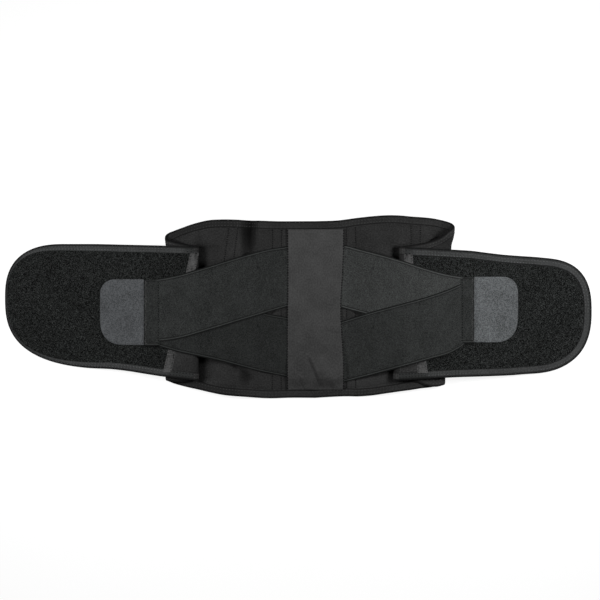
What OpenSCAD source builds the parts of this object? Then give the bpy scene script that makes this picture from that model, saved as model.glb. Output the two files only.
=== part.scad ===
// Lumbar support belt, lying outer face up with both side folds closed.
// X runs along the belt, Y up the wearer's back and Z out of the outer face.
// The origin is at the spine, on the face that lies against the wearer.
// Both sides are drawn running out along +X, and the left one is then mirrored.

/* [Laminate] */
// Thickness of the lining on the wearer's side
lining_t = 1; // [0.8:0.1:1.6]
// Thickness of the foam core
foam_t = 1.8; // [1.6:0.1:3]
// Thickness of the outer cloth and of the loop cloth
face_t = 1; // [0.8:0.1:1.6]
// Thickness of the edge binding
tape_t = 0.5; // [0.3:0.1:0.6]
// Width of the edge binding on each face
bind_w = 10; // [7:0.5:12]

/* [Back panel] */
// Height of the back panel at the spine
back_h = 230; // [215:1:245]
// Spine to where the panel starts to narrow, left
left_shoulder_x = 123; // [112:1:130]
// Spine to where the panel starts to narrow, right
right_shoulder_x = 97; // [88:1:108]
// How far the left half lies pushed up, at its top edge
left_top_rise = 1.5; // [0:0.5:8]
// How far the right half lies pushed up, at its top edge
right_top_rise = 7.5; // [0:0.5:10]
// How far the left half lies pushed up, at its bottom edge
left_bottom_rise = 4.5; // [0:0.5:8]
// How far the right half lies pushed up, at its bottom edge
right_bottom_rise = 6.5; // [0:0.5:10]
// Drop of the top edge from the shoulder to the left fold
left_top_drop = 19; // [10:0.5:24]
// Drop of the top edge from the shoulder to the right fold
right_top_drop = 12; // [8:0.5:20]
// Climb of the bottom edge from the shoulder to the left fold
left_bottom_climb = 16; // [8:0.5:20]
// Climb of the bottom edge from the shoulder to the right fold
right_bottom_climb = 8; // [4:0.5:16]

/* [Side folds] */
// Spine to the outside of the first bend, left
left_fold_x = 195; // [186:1:205]
// Spine to the outside of the first bend, right
right_fold_x = 178; // [172:1:190]
// How deep the left side is folded back on itself
left_fold_depth = 43; // [32:1:56]
// How deep the right side is folded back on itself
right_fold_depth = 70; // [58:1:82]
// Radius of each bend, at the middle of the cloth
bend_r = 4.75; // [4:0.25:6]

/* [Wings] */
// Length of a wing from the second bend to its tip
wing_l = 251; // [240:1:265]
// Height of a wing at the second bend
root_h = 174; // [166:1:184]
// Height of a wing where its end starts to round
wing_h = 157; // [148:1:164]
// Length of the rounded end
end_l = 102; // [80:1:115]
// Squareness of the rounded end, 2 for an ellipse
end_power = 2.5; // [2:0.1:3]
// How far below the middle of the back the wings set out
wing_sag = 5.5; // [0:0.5:10]
// Angle by which the left wing lies raised towards its tip
left_tilt = 4.5; // [0:0.5:6]
// Angle by which the right wing lies raised towards its tip
right_tilt = 0; // [0:0.5:6]
// Length over which a wing comes down from its fold to the table
droop_l = 120; // [105:1:130]
// Width of the flexing strip beside the tab seam
crease_w = 12; // [11:0.5:16]
// Width of the satin tape that joins cloth and loop field
joint_tape_w = 13; // [10:0.5:16]
// Thickness of the satin tape
joint_tape_t = 0.4; // [0.3:0.1:0.6]
// Second bend to the satin tape, along the wing's middle
joint_tape_u = 23.5; // [20:0.5:26]
// Lean of the satin tape against the wing
joint_tape_lean = 8.4; // [4:0.2:10]

/* [Elastic bands] */
// Width of an elastic band
band_w = 77; // [72:0.5:80]
// Thickness of an elastic band
band_t = 1.5; // [1:0.1:2]
// Length of band that is sewn down under the spine cover
band_tuck = 12; // [10:0.5:15]
// Height of the upper bands' middle at the cover, from the spine's middle
upper_band_y = 43; // [42:0.5:46]
// Depth of the lower bands' middle at the cover, from the spine's middle
lower_band_y = 52; // [46:0.5:56]
// Upper band at the hem, above the tab's middle
upper_hem_y = 1.8; // [0:0.2:4]
// Lower band at the hem, below the tab's middle
lower_hem_y = 4.6; // [0:0.2:5]
// Softness of the bend that the bands take before the hem
band_ease = 0.05; // [0.02:0.01:0.15]

/* [Pull tabs] */
// First bend to the seam between hem and tab
seam_out = 27.5; // [26:0.5:32]
// Length of a hook tab
tab_l = 57; // [48:1:62]
// Height of a hook tab
tab_h = 85; // [80:1:90]
// Radius of a tab's outer corners
tab_r = 19; // [8:1:26]
// Thickness of a tab's woven backing
tab_t = 1.2; // [0.8:0.1:1.6]
// Height of the hooks under a tab
hook_t = 0.7; // [0.4:0.1:1]
// Length of the hem that the bands end in
hem_l = 15; // [12:0.5:18]
// Height of the left tab's middle
left_tab_y = -3.3; // [-5:0.1:0]
// Height of the right tab's middle
right_tab_y = 0; // [-4:0.1:2]

/* [Spine cover and stays] */
// Width of the spine cover
cover_w = 74; // [68:1:78]
// Thickness of the spine cover's satin
cover_t = 0.8; // [0.6:0.1:1.2]
// Width of a stay
stay_w = 8; // [6:0.5:9]
// Thickness of a stay
stay_t = 1; // [0.6:0.1:1.2]
// Length of a stay
stay_l = 190; // [170:1:194]
// Spine to the left inner stay
left_inner_stay_x = 50.5; // [46:0.5:56]
// Spine to the right inner stay
right_inner_stay_x = 46.5; // [46:0.5:56]
// Spine to the middle of the left outer stay
left_outer_stay_x = 121; // [114:1:128]
// Spine to the middle of the right outer stay
right_outer_stay_x = 132; // [126:1:140]
// Lean of the left outer stay, which leans with its side
left_stay_lean = 8; // [4:0.5:10]
// Lean of the right outer stay
right_stay_lean = 1; // [0:0.5:8]

/* [Front closure] */
// Height of the hooks under the right wing's tip
patch_t = 1.2; // [0.8:0.1:1.6]
// Gap between the closure hooks and the wing's edge
patch_inset = 12.5; // [12:0.5:16]

/* [Fits] */
// Room around a stay in its channel
stay_gap = 0.2; // [0.1:0.05:0.3]
// Gap between a tab's hooks and the loop field, hem to tab gap being wider
hook_gap = 0.3; // [0.2:0.05:0.4]
// Air between one layer of cloth and the next
layer_gap = 0.1; // [0.05:0.05:0.2]
// Seam line to the hem, so that a tab can stand up beside it
hem_gap = 1.8; // [1.6:0.1:2.4]
// Seam line to the tab
tab_gap = 1; // [0.8:0.1:1.2]

/* [Hidden] */
LEFT = 0;
RIGHT = 1;
UPPER = 0;
LOWER = 1;

// one pair of values for each side
shoulder_x = [left_shoulder_x, right_shoulder_x];
top_rise = [left_top_rise, right_top_rise];
bottom_rise = [left_bottom_rise, right_bottom_rise];
top_drop = [left_top_drop, right_top_drop];
bottom_climb = [left_bottom_climb, right_bottom_climb];
fold_x = [left_fold_x, right_fold_x];
fold_depth = [left_fold_depth, right_fold_depth];
tilt = [left_tilt, right_tilt];
tab_y = [left_tab_y, right_tab_y];
inner_stay_x = [left_inner_stay_x, right_inner_stay_x];
outer_stay_x = [left_outer_stay_x, right_outer_stay_x];
stay_lean = [left_stay_lean, right_stay_lean];
floor_z = [0, patch_t];
// the band that lies on top: the upper one on the left, the lower one on the right
top_band = [UPPER, LOWER];

// the laminate, and the bends that it makes
panel_t = lining_t + foam_t + face_t;
bend_out = bend_r + panel_t / 2;
root_z = 4 * bend_r;
inner_x = [fold_x[LEFT] - fold_depth[LEFT], fold_x[RIGHT] - fold_depth[RIGHT]];
root_x = [inner_x[LEFT] + bend_out, inner_x[RIGHT] + bend_out];
panel_x = [fold_x[LEFT] - bend_out, fold_x[RIGHT] - bend_out];
seam_x = [fold_x[LEFT] + seam_out, fold_x[RIGHT] + seam_out];

// the bands, their hems and the cover over their inner ends
band_rest = panel_t + joint_tape_t + layer_gap;
band_start = cover_w / 2 - band_tuck;
hem_t = band_rest - panel_t + 2 * band_t + layer_gap;
hem_x = [seam_x[LEFT] - hem_gap - hem_l, seam_x[RIGHT] - hem_gap - hem_l];
band_rise_x = cover_w / 2 + 4;
cover_y = back_h / 2 - bind_w - 0.5;
stay_z = lining_t + foam_t - stay_gap / 2 - stay_t;
patch_x = fold_x[RIGHT] + droop_l + 4;

edge_steps = 32;
drape_step = 6;
far = 400;

cloth = "#2b2b2b";
loop_cloth = "#1f2121";
binding_tape = "#3a3a3a";
satin = "#454545";
elastic = "#303333";
hook_grey = "#5a5d5f";
foam_grey = "#6b6b68";
lining_mesh = "#262626";
steel = "#9aa0a4";

function smooth(t) = let (k = min(1, max(0, t))) k * k * (3 - 2 * k);
// a straight line from (0, 0) to (1, 1) with a soft start
function eased(t, e) = let (k = max(0, t)) (1 + e) * k * k / (k + e);
function spaced(a, b, step) = let (n = max(1, ceil((b - a) / step))) [for (i = [0:n]) a + (b - a) * i / n];
function reversed(list) = [for (i = [len(list) - 1:-1:0]) list[i]];
function power(v, p) = v == 0 ? 0 : sign(v) * pow(abs(v), p);

// top and bottom edge of the back panel
function shoulder_t(s, x) = (abs(x) - shoulder_x[s]) / (fold_x[s] - shoulder_x[s]);
function top_y(x) =
    let (s = x < 0 ? LEFT : RIGHT)
    back_h / 2 + top_rise[s] * smooth(abs(x) / shoulder_x[s])
        - top_drop[s] * eased(shoulder_t(s, x), 0.35);
function bottom_y(x) =
    let (s = x < 0 ? LEFT : RIGHT)
    -back_h / 2 + bottom_rise[s] * smooth(abs(x) / shoulder_x[s])
        + bottom_climb[s] * eased(shoulder_t(s, x), 0.35);
function edge_y(side, x, inset) = side == UPPER ? top_y(x) - inset : bottom_y(x) + inset;
function back_xs(extra) =
    let (
        xs = [for (i = [0:edge_steps])
            -panel_x[LEFT] + (panel_x[LEFT] + panel_x[RIGHT]) * i / edge_steps]
    )
    extra > 0 ? concat([xs[0] - extra], xs, [xs[edge_steps] + extra]) : xs;
function back_outline(inset) =
    concat(
        [for (x = back_xs(0)) [x, edge_y(LOWER, x, inset)]],
        [for (x = reversed(back_xs(0))) [x, edge_y(UPPER, x, inset)]]
    );
function back_strip(side, near, deep, extra) =
    concat(
        [for (x = back_xs(extra)) [x, edge_y(side, x, near)]],
        [for (x = reversed(back_xs(extra))) [x, edge_y(side, x, deep)]]
    );

// outline of a wing, and the height at which its underside runs
function wing_axis(s, x) = -wing_sag + (x - inner_x[s]) * tan(tilt[s]);
function wing_half(s, x) = (root_h - (root_h - wing_h) * (x - inner_x[s]) / (wing_l - end_l)) / 2;
function wing_point(s, u, v) = [inner_x[s] + u, wing_axis(s, inner_x[s] + u) + v];
function wing_outline(s, inset) =
    concat(
        [wing_point(s, 0, root_h / 2 - inset)],
        [for (a = [90:-7.5:-90])
            wing_point(s, wing_l - end_l + (end_l - inset) * power(cos(a), 2 / end_power),
                (wing_h / 2 - inset) * power(sin(a), 2 / end_power))],
        [wing_point(s, 0, inset - root_h / 2)]
    );
function wing_drop(s, x) =
    floor_z[s] + (root_z - floor_z[s]) * (1 - smooth((x - fold_x[s] - 2) / droop_l));
// the same drop in short straight runs, which all the layers share so that they meet face to face
function wing_z(s, x) =
    let (
        k = floor(x / drape_step),
        a = wing_drop(s, k * drape_step),
        b = wing_drop(s, (k + 1) * drape_step)
    )
    a + (b - a) * (x / drape_step - k);
function drape_xs(x0, x1) =
    concat(
        [x0],
        [for (k = [floor(x0 / drape_step) + 1:1:ceil(x1 / drape_step) - 1]) k * drape_step],
        [x1]
    );

// middle line of a folded side, off to one face: out, back over itself and out again
function fold_path(s, off) =
    concat(
        [for (a = [-90:15:90])
            [panel_x[s] + (bend_r - off) * cos(a), panel_t / 2 + bend_r + (bend_r - off) * sin(a)]],
        [for (a = [-90:-15:-270])
            [root_x[s] + (bend_r + off) * cos(a), panel_t / 2 + 3 * bend_r + (bend_r + off) * sin(a)]]
    );
// edge of a folded side, from the wing's root to the back panel's end and on round the first bend
function fold_edge(s, side, x, inset) =
    let (
        flip = s == LEFT ? -1 : 1,
        up = side == UPPER ? 1 : -1,
        a = edge_y(side, flip * panel_x[s], 0),
        b = wing_axis(s, root_x[s]) + up * wing_half(s, root_x[s]),
        straight = a + (b - a) * (panel_x[s] - x) / (panel_x[s] - root_x[s])
    )
    (x > panel_x[s] ? edge_y(side, flip * x, 0) : straight) - up * inset;
function fold_area(s, side_a, inset_a, side_b, inset_b) =
    let (xs = [inner_x[s] - 1, panel_x[s], fold_x[s] + 1])
    concat(
        [for (x = xs) [x, fold_edge(s, side_a, x, inset_a)]],
        [for (x = reversed(xs)) [x, fold_edge(s, side_b, x, inset_b)]]
    );

// satin tape line, leaning so that its top is nearer the spine
function tape_x(s, y) =
    let (x = inner_x[s] + joint_tape_u)
    x - (y - wing_axis(s, x)) * tan(joint_tape_lean + tilt[s]);

// an elastic band: its middle line, half its height and its underside
function band_t_at(s, x) = (hem_x[s] - x) / (hem_x[s] - cover_w / 2);
function band_y(s, k, x) =
    let (
        at_cover = k == UPPER ? upper_band_y : -lower_band_y,
        at_hem = tab_y[s] + (k == UPPER ? upper_hem_y : -lower_hem_y)
    )
    at_hem + (at_cover - at_hem) * eased(band_t_at(s, x), band_ease);
function band_half(s, k, x) =
    let (slope = band_y(s, k, x + 0.5) - band_y(s, k, x - 0.5))
    band_w / 2 * sqrt(1 + slope * slope);
function band_crest_x(s) = inner_x[s] + 5;
function band_line(s, x) =
    let (t = (x - band_rise_x) / (band_crest_x(s) - band_rise_x))
    x <= band_rise_x ? panel_t
        : x < band_crest_x(s) ? panel_t + (root_z + band_rest - panel_t) * t
        : wing_z(s, x) + band_rest;
function band_z(s, k, x) =
    band_line(s, x) + (k == top_band[s] ? (band_t + layer_gap) * smooth((x - band_rise_x) / 18) : 0);
function band_xs(s) =
    concat(
        [band_start],
        spaced(band_rise_x, band_crest_x(s), 6),
        [for (x = spaced(band_crest_x(s) + 5, hem_x[s] - layer_gap, 7)) x]
    );

function corner(x, y, r, from) = [for (a = [from:15:from + 90]) [x + r * cos(a), y + r * sin(a)]];

module on_side(s) {
    if (s == LEFT)
        mirror([1, 0, 0]) children();
    else
        children();
}

// a shape drawn in X and Z, as long as the belt is high
module along_y() {
    rotate([90, 0, 0])
        translate([0, 0, -far / 2])
            linear_extrude(far) children();
}

// everything above and below a shape drawn in X and Y
module upright() {
    translate([0, 0, -10])
        linear_extrude(80) children();
}

// a level layer of the back panel
module back_slab(z0, z1, inset) {
    translate([0, 0, z0])
        linear_extrude(z1 - z0) polygon(back_outline(inset));
}

// a layer that follows a wing down to the table, from height a to height b in the laminate
module wing_layer(s, x0, x1, a, b) {
    xs = drape_xs(x0, x1);
    along_y()
        polygon(concat(
            [for (x = xs) [x, wing_z(s, x) + a]],
            [for (x = reversed(xs)) [x, wing_z(s, x) + b]]
        ));
}

module wing_slab(s, x0, x1, a, b, inset) {
    intersection() {
        wing_layer(s, x0, x1, a, b);
        upright() polygon(wing_outline(s, inset));
    }
}

// lining or face of a wing: full thickness up to the binding, thinner under it
module bound_slab(s, x0, x1, a, b, thin_a, thin_b) {
    wing_slab(s, x0, x1, a, b, bind_w);
    wing_slab(s, x0, x1, thin_a, thin_b, tape_t);
}

module bound_lining(s, x0, x1) {
    bound_slab(s, x0, x1, 0, lining_t, tape_t, lining_t);
}

module bound_face(s, x0, x1) {
    bound_slab(s, x0, x1, panel_t - face_t, panel_t, panel_t - face_t, panel_t - tape_t);
}

// U-shaped tape round a wing's edge
module bound_edge(s, x0, x1) {
    difference() {
        wing_slab(s, x0, x1, 0, panel_t, 0);
        wing_slab(s, x0 - 1, x1 + 1, -1, panel_t + 1, bind_w);
        wing_slab(s, x0 - 1, x1 + 1, tape_t, panel_t - tape_t, tape_t);
    }
}

// the field of a root on one side of the satin tape
module beyond_tape(s) {
    upright()
        polygon([[tape_x(s, far), far], [far, far], [far, -far], [tape_x(s, -far), -far]]);
}

module fold_slab(s, t) {
    along_y()
        polygon(concat(fold_path(s, t / 2), reversed(fold_path(s, -t / 2))));
}

module stay_outline(room) {
    square([stay_w + 2 * room, stay_l - stay_w], center = true);
    translate([0, stay_l / 2 - stay_w / 2]) circle(d = stay_w + 2 * room, $fn = 48);
    translate([0, stay_w / 2 - stay_l / 2]) circle(d = stay_w + 2 * room, $fn = 48);
}

// puts a stay, or the channel for it, in its place in the foam
module at_stay(s, outer) {
    on_side(s)
        translate([outer ? outer_stay_x[s] : inner_stay_x[s], outer ? 4 : 0, 0])
            rotate([0, 0, outer ? stay_lean[s] : 0])
                children();
}

module stay(s, outer) {
    color(steel)
        at_stay(s, outer)
            translate([0, 0, stay_z])
                linear_extrude(stay_t) stay_outline(0);
}

module stay_channel(s, outer) {
    at_stay(s, outer)
        translate([0, 0, stay_z - stay_gap / 2])
            linear_extrude(stay_t + stay_gap + 1) stay_outline(stay_gap);
}

module back_lining() {
    color(lining_mesh) {
        back_slab(0, lining_t, bind_w);
        back_slab(tape_t, lining_t, tape_t);
    }
}

module back_foam() {
    color(foam_grey)
        difference() {
            back_slab(lining_t, lining_t + foam_t, tape_t);
            for (s = [LEFT, RIGHT])
                for (outer = [false, true])
                    stay_channel(s, outer);
        }
}

module back_shell() {
    color(cloth) {
        back_slab(panel_t - face_t, panel_t, bind_w);
        back_slab(panel_t - face_t, panel_t - tape_t, tape_t);
    }
}

module back_binding(side) {
    color(binding_tape)
        difference() {
            linear_extrude(panel_t) polygon(back_strip(side, 0, bind_w, 0));
            translate([0, 0, tape_t])
                linear_extrude(panel_t - 2 * tape_t) polygon(back_strip(side, tape_t, bind_w + 1, 1));
        }
}

// satin sheet that lies on the back between the bands and over their sewn ends
module spine_cover() {
    half = cover_w / 2;
    under = [
        [-half, panel_t + band_t],
        [2 - band_start, panel_t + band_t],
        [6 - band_start, panel_t],
        [band_start - 6, panel_t],
        [band_start - 2, panel_t + band_t],
        [half, panel_t + band_t]
    ];
    color(satin)
        rotate([90, 0, 0])
            translate([0, 0, -cover_y])
                linear_extrude(2 * cover_y)
                    polygon(concat(under, [for (p = reversed(under)) [p[0], p[1] + cover_t]]));
}

module band(s, k) {
    xs = band_xs(s);
    color(elastic)
        on_side(s)
            intersection() {
                along_y()
                    polygon(concat(
                        [for (x = xs) [x, band_z(s, k, x)]],
                        [for (x = reversed(xs)) [x, band_z(s, k, x) + band_t]]
                    ));
                upright()
                    polygon(concat(
                        [for (x = xs) [x, band_y(s, k, x) - band_half(s, k, x)]],
                        [for (x = reversed(xs)) [x, band_y(s, k, x) + band_half(s, k, x)]]
                    ));
            }
}

module fold_panel(s) {
    color(cloth)
        on_side(s) {
            intersection() {
                fold_slab(s, panel_t);
                upright() polygon(fold_area(s, UPPER, bind_w, LOWER, bind_w));
            }
            intersection() {
                fold_slab(s, panel_t - 2 * tape_t);
                upright() polygon(fold_area(s, UPPER, tape_t, LOWER, tape_t));
            }
        }
}

module fold_binding(s) {
    color(binding_tape)
        on_side(s)
            for (side = [UPPER, LOWER])
                difference() {
                    intersection() {
                        fold_slab(s, panel_t);
                        upright() polygon(fold_area(s, side, 0, side, bind_w));
                    }
                    intersection() {
                        fold_slab(s, panel_t - 2 * tape_t);
                        upright() polygon(fold_area(s, side, tape_t, side, bind_w + 1));
                    }
                }
}

module root_lining(s) {
    color(lining_mesh)
        on_side(s) bound_lining(s, root_x[s], seam_x[s] - crease_w / 2);
}

module root_foam(s) {
    color(foam_grey)
        on_side(s)
            wing_slab(s, root_x[s], seam_x[s] - crease_w / 2, lining_t, lining_t + foam_t, tape_t);
}

module root_cloth(s) {
    color(cloth)
        on_side(s)
            difference() {
                bound_face(s, root_x[s], seam_x[s] - crease_w / 2);
                beyond_tape(s);
            }
}

module root_loop(s) {
    color(loop_cloth)
        on_side(s)
            intersection() {
                bound_face(s, root_x[s], seam_x[s] - crease_w / 2);
                beyond_tape(s);
            }
}

module root_binding(s) {
    color(binding_tape)
        on_side(s) bound_edge(s, root_x[s], seam_x[s] - crease_w / 2);
}

module joint_tape(s) {
    half = joint_tape_w / 2 / cos(joint_tape_lean + tilt[s]);
    color(satin)
        on_side(s)
            intersection() {
                wing_slab(s, root_x[s], seam_x[s] - crease_w / 2, panel_t, panel_t + joint_tape_t, bind_w);
                upright()
                    polygon([
                        [tape_x(s, far) - half, far],
                        [tape_x(s, far) + half, far],
                        [tape_x(s, -far) + half, -far],
                        [tape_x(s, -far) - half, -far]
                    ]);
            }
}

module hem(s) {
    color(elastic)
        on_side(s)
            intersection() {
                wing_layer(s, hem_x[s], hem_x[s] + hem_l, panel_t, panel_t + hem_t);
                upright()
                    translate([hem_x[s] - 1, tab_y[s] - tab_h / 2]) square([hem_l + 2, tab_h]);
            }
}

module wing_crease(s) {
    color(loop_cloth)
        on_side(s) wing_slab(s, seam_x[s] - crease_w / 2, seam_x[s] + crease_w / 2, 0, panel_t, 0);
}

module wing_lining(s) {
    color(lining_mesh)
        on_side(s) bound_lining(s, seam_x[s] + crease_w / 2, inner_x[s] + wing_l + 1);
}

module wing_foam(s) {
    color(foam_grey)
        on_side(s)
            wing_slab(s, seam_x[s] + crease_w / 2, inner_x[s] + wing_l + 1,
                lining_t, lining_t + foam_t, tape_t);
}

module wing_loop(s) {
    color(loop_cloth)
        on_side(s) bound_face(s, seam_x[s] + crease_w / 2, inner_x[s] + wing_l + 1);
}

module wing_binding(s) {
    color(binding_tape)
        on_side(s) bound_edge(s, seam_x[s] + crease_w / 2, inner_x[s] + wing_l + 1);
}

module tab_layer(s, a, b) {
    x0 = seam_x[s] + tab_gap;
    x1 = x0 + tab_l;
    y0 = tab_y[s] - tab_h / 2;
    y1 = tab_y[s] + tab_h / 2;
    on_side(s)
        intersection() {
            wing_layer(s, x0, x1, a, b);
            upright()
                polygon(concat(
                    [[x0 - 1, y0]],
                    corner(x1 - tab_r, y0 + tab_r, tab_r, -90),
                    corner(x1 - tab_r, y1 - tab_r, tab_r, 0),
                    [[x0 - 1, y1]]
                ));
        }
}

module tab_hooks(s) {
    color(cloth) tab_layer(s, panel_t + hook_gap, panel_t + hook_gap + hook_t);
}

module tab_backing(s) {
    color(hook_grey)
        tab_layer(s, panel_t + hook_gap + hook_t, panel_t + hook_gap + hook_t + tab_t);
}

// hooks under the right wing's tip, which close the belt on the left wing's loop field
module closure_hooks() {
    color(cloth)
        wing_slab(RIGHT, patch_x, inner_x[RIGHT] + wing_l, -patch_t, 0, patch_inset);
}

back_lining();
back_foam();
back_shell();
back_binding(UPPER);  // back_binding_top
back_binding(LOWER);  // back_binding_bottom
stay(LEFT, true);  // stay_left_outer
stay(LEFT, false);  // stay_left_inner
stay(RIGHT, false);  // stay_right_inner
stay(RIGHT, true);  // stay_right_outer
spine_cover();
band(LEFT, UPPER);  // left_upper_band
band(LEFT, LOWER);  // left_lower_band
band(RIGHT, UPPER);  // right_upper_band
band(RIGHT, LOWER);  // right_lower_band
fold_panel(LEFT);  // left_fold_panel
fold_binding(LEFT);  // left_fold_binding
root_lining(LEFT);  // left_root_lining
root_foam(LEFT);  // left_root_foam
root_cloth(LEFT);  // left_root_cloth
root_loop(LEFT);  // left_root_loop
root_binding(LEFT);  // left_root_binding
joint_tape(LEFT);  // left_joint_tape
hem(LEFT);  // left_hem
wing_crease(LEFT);  // left_wing_crease
wing_lining(LEFT);  // left_wing_lining
wing_foam(LEFT);  // left_wing_foam
wing_loop(LEFT);  // left_wing_loop
wing_binding(LEFT);  // left_wing_binding
tab_hooks(LEFT);  // left_tab_hooks
tab_backing(LEFT);  // left_tab_backing
fold_panel(RIGHT);  // right_fold_panel
fold_binding(RIGHT);  // right_fold_binding
root_lining(RIGHT);  // right_root_lining
root_foam(RIGHT);  // right_root_foam
root_cloth(RIGHT);  // right_root_cloth
root_loop(RIGHT);  // right_root_loop
root_binding(RIGHT);  // right_root_binding
joint_tape(RIGHT);  // right_joint_tape
hem(RIGHT);  // right_hem
wing_crease(RIGHT);  // right_wing_crease
wing_lining(RIGHT);  // right_wing_lining
wing_foam(RIGHT);  // right_wing_foam
wing_loop(RIGHT);  // right_wing_loop
wing_binding(RIGHT);  // right_wing_binding
tab_hooks(RIGHT);  // right_tab_hooks
tab_backing(RIGHT);  // right_tab_backing
closure_hooks();
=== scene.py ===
"""Looks of a lumbar support belt lying outer face up, with both sides in Z-folds.

Lengths are millimetres until a mesh is made, and metres from there on. A side is
worked out with X pointing away from the spine; the left one is mirrored when its
points are placed.
"""

import logging
import math
from dataclasses import dataclass, field
from enum import Enum
from functools import cached_property

import bmesh
import bpy
import numpy as np
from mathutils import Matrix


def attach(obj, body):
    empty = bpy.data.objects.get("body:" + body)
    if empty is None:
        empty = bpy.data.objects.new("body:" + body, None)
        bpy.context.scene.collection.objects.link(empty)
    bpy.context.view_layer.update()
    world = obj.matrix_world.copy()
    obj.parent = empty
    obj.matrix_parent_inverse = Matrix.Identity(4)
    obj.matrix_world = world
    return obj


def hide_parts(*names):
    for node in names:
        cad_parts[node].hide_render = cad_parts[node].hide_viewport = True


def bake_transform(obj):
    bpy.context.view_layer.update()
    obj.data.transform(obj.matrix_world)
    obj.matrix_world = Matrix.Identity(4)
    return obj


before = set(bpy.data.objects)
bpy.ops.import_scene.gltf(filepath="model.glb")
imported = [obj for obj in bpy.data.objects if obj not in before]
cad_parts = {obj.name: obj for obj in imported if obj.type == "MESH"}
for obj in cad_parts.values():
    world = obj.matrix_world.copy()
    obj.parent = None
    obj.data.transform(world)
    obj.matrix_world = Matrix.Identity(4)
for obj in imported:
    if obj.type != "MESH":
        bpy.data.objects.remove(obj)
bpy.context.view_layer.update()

LOG = logging.getLogger("belt")
Array = np.ndarray
Triple = tuple[float, float, float]
Line = tuple[tuple[float, float], ...]
Socket = bpy.types.NodeSocket
MM = 0.001
EVERY_OTHER = (slice(None, None, 2), slice(None, None, 2))


class Side(Enum):
    """The two sides of the belt, as the photograph shows them."""

    LEFT = "left"
    RIGHT = "right"

    @property
    def sign(self) -> int:
        """Direction along X that leads away from the spine."""
        return -1 if self is Side.LEFT else 1


class Level(Enum):
    """The two long edges of the belt, and the two bands of a side."""

    UPPER = "upper"
    LOWER = "lower"

    @property
    def sign(self) -> int:
        """Direction along Y that leads out of the belt."""
        return 1 if self is Level.UPPER else -1


class Axis(Enum):
    """Coordinate of a piece's own map that a stripe runs across."""

    ALONG = "X"
    ACROSS = "Y"
    SLANTED = "DIAGONAL"


def smooth(t: Array) -> Array:
    """Ease from 0 to 1: 3t^2 - 2t^3, held outside that range."""
    k = np.clip(t, 0.0, 1.0)
    return k * k * (3.0 - 2.0 * k)


def ease(x: Array, start: float, end: float) -> Array:
    """Smooth step from 0 at one place to 1 at another, which may lie before it."""
    return smooth((x - start) / (end - start))


def bell(t: Array) -> Array:
    """Rounded hump of height 1: exp(-t^2)."""
    return np.exp(-t * t)


def ramp(a: float, b: float, n: int) -> Array:
    """Evenly spaced values from a to b."""
    return np.linspace(a, b, n)


def column(values: Array, n: int) -> Array:
    """A vector down the rows of a grid with n columns."""
    return np.repeat(values[:, None], n, 1)


def between(low: Array, high: Array, t: Array) -> Array:
    """Grid that goes in each row from one edge, where t is 0, to the other, where it is 1."""
    return low[:, None] + (high - low)[:, None] * t


def pair(u: Array, v: Array) -> Array:
    """Two coordinate arrays as a map."""
    return np.stack(np.broadcast_arrays(u, v), axis=-1)


def stack(x: Array, y: Array, z: Array) -> Array:
    """Three coordinate arrays as points."""
    return np.stack(np.broadcast_arrays(x, y, z), axis=-1)


def unit(vectors: Array) -> Array:
    """Vectors at length 1."""
    return vectors / np.maximum(np.linalg.norm(vectors, axis=-1, keepdims=True), 1e-9)


def distances(points: Array) -> Array:
    """How far along a line each of its points lies."""
    return np.concatenate([[0.0], np.cumsum(np.linalg.norm(np.diff(points, axis=0), axis=1))])


def linear(colour: Triple) -> tuple[float, float, float, float]:
    """Screen colour from 0 to 255 as the linear colour that a shader takes."""
    c = np.array(colour) / 255.0
    c = np.where(c <= 0.04045, c / 12.92, ((c + 0.055) / 1.055) ** 2.4)
    return (*c.tolist(), 1.0)


@dataclass(frozen=True)
class Curve:
    """Smooth line y(x) through a few points.

    Between two points it is the cubic Hermite polynomial whose slopes are the
    differences across the neighbouring points.
    """

    points: Line

    def __call__(self, x: Array) -> Array:
        """Value of the line.

        Args:
            x: Places along the line; outside the points the ends hold.

        Returns:
            The line's height at each place.
        """
        px, py = np.array(self.points, float).T
        slope = np.gradient(py, px)
        i = np.clip(np.searchsorted(px, x) - 1, 0, len(px) - 2)
        h = px[i + 1] - px[i]
        t = np.clip((x - px[i]) / h, 0.0, 1.0)
        s = 1.0 - t
        return (
            (1 + 2 * t) * s * s * py[i]
            + t * s * s * h * slope[i]
            + t * t * (3 - 2 * t) * py[i + 1]
            - t * t * s * h * slope[i + 1]
        )


@dataclass(frozen=True)
class Crease:
    """A soft ridge or valley along a straight line on a cloth."""

    start: tuple[float, float]
    end: tuple[float, float]
    width: float
    height: float

    def __call__(self, x: Array, y: Array) -> Array:
        """Height that the crease adds: its profile across the line, faded at its ends.

        Args:
            x: Places along X.
            y: Places along Y.

        Returns:
            Height at each place.
        """
        ax, ay = self.start
        dx, dy = self.end[0] - ax, self.end[1] - ay
        length = math.hypot(dx, dy)
        t = ((x - ax) * dx + (y - ay) * dy) / length**2
        off = ((y - ay) * dx - (x - ax) * dy) / length
        fade = ease(t, -0.15, 0.2) * ease(t, 1.15, 0.8)
        return self.height * self.profile(off / self.width) * fade

    def profile(self, d: Array) -> Array:
        """Shape across the line, at a distance d in widths."""
        return bell(d)


@dataclass(frozen=True)
class Tuck(Crease):
    """A fold with a sharp foot along its line and a round back beside it."""

    def profile(self, d: Array) -> Array:
        """Nothing before the line, then (1 - exp(-1.2 d)) exp(-d / 6) beyond it."""
        d = np.maximum(d, 0.0)
        return (1 - np.exp(-1.2 * d)) * np.exp(-d / 6)


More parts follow.
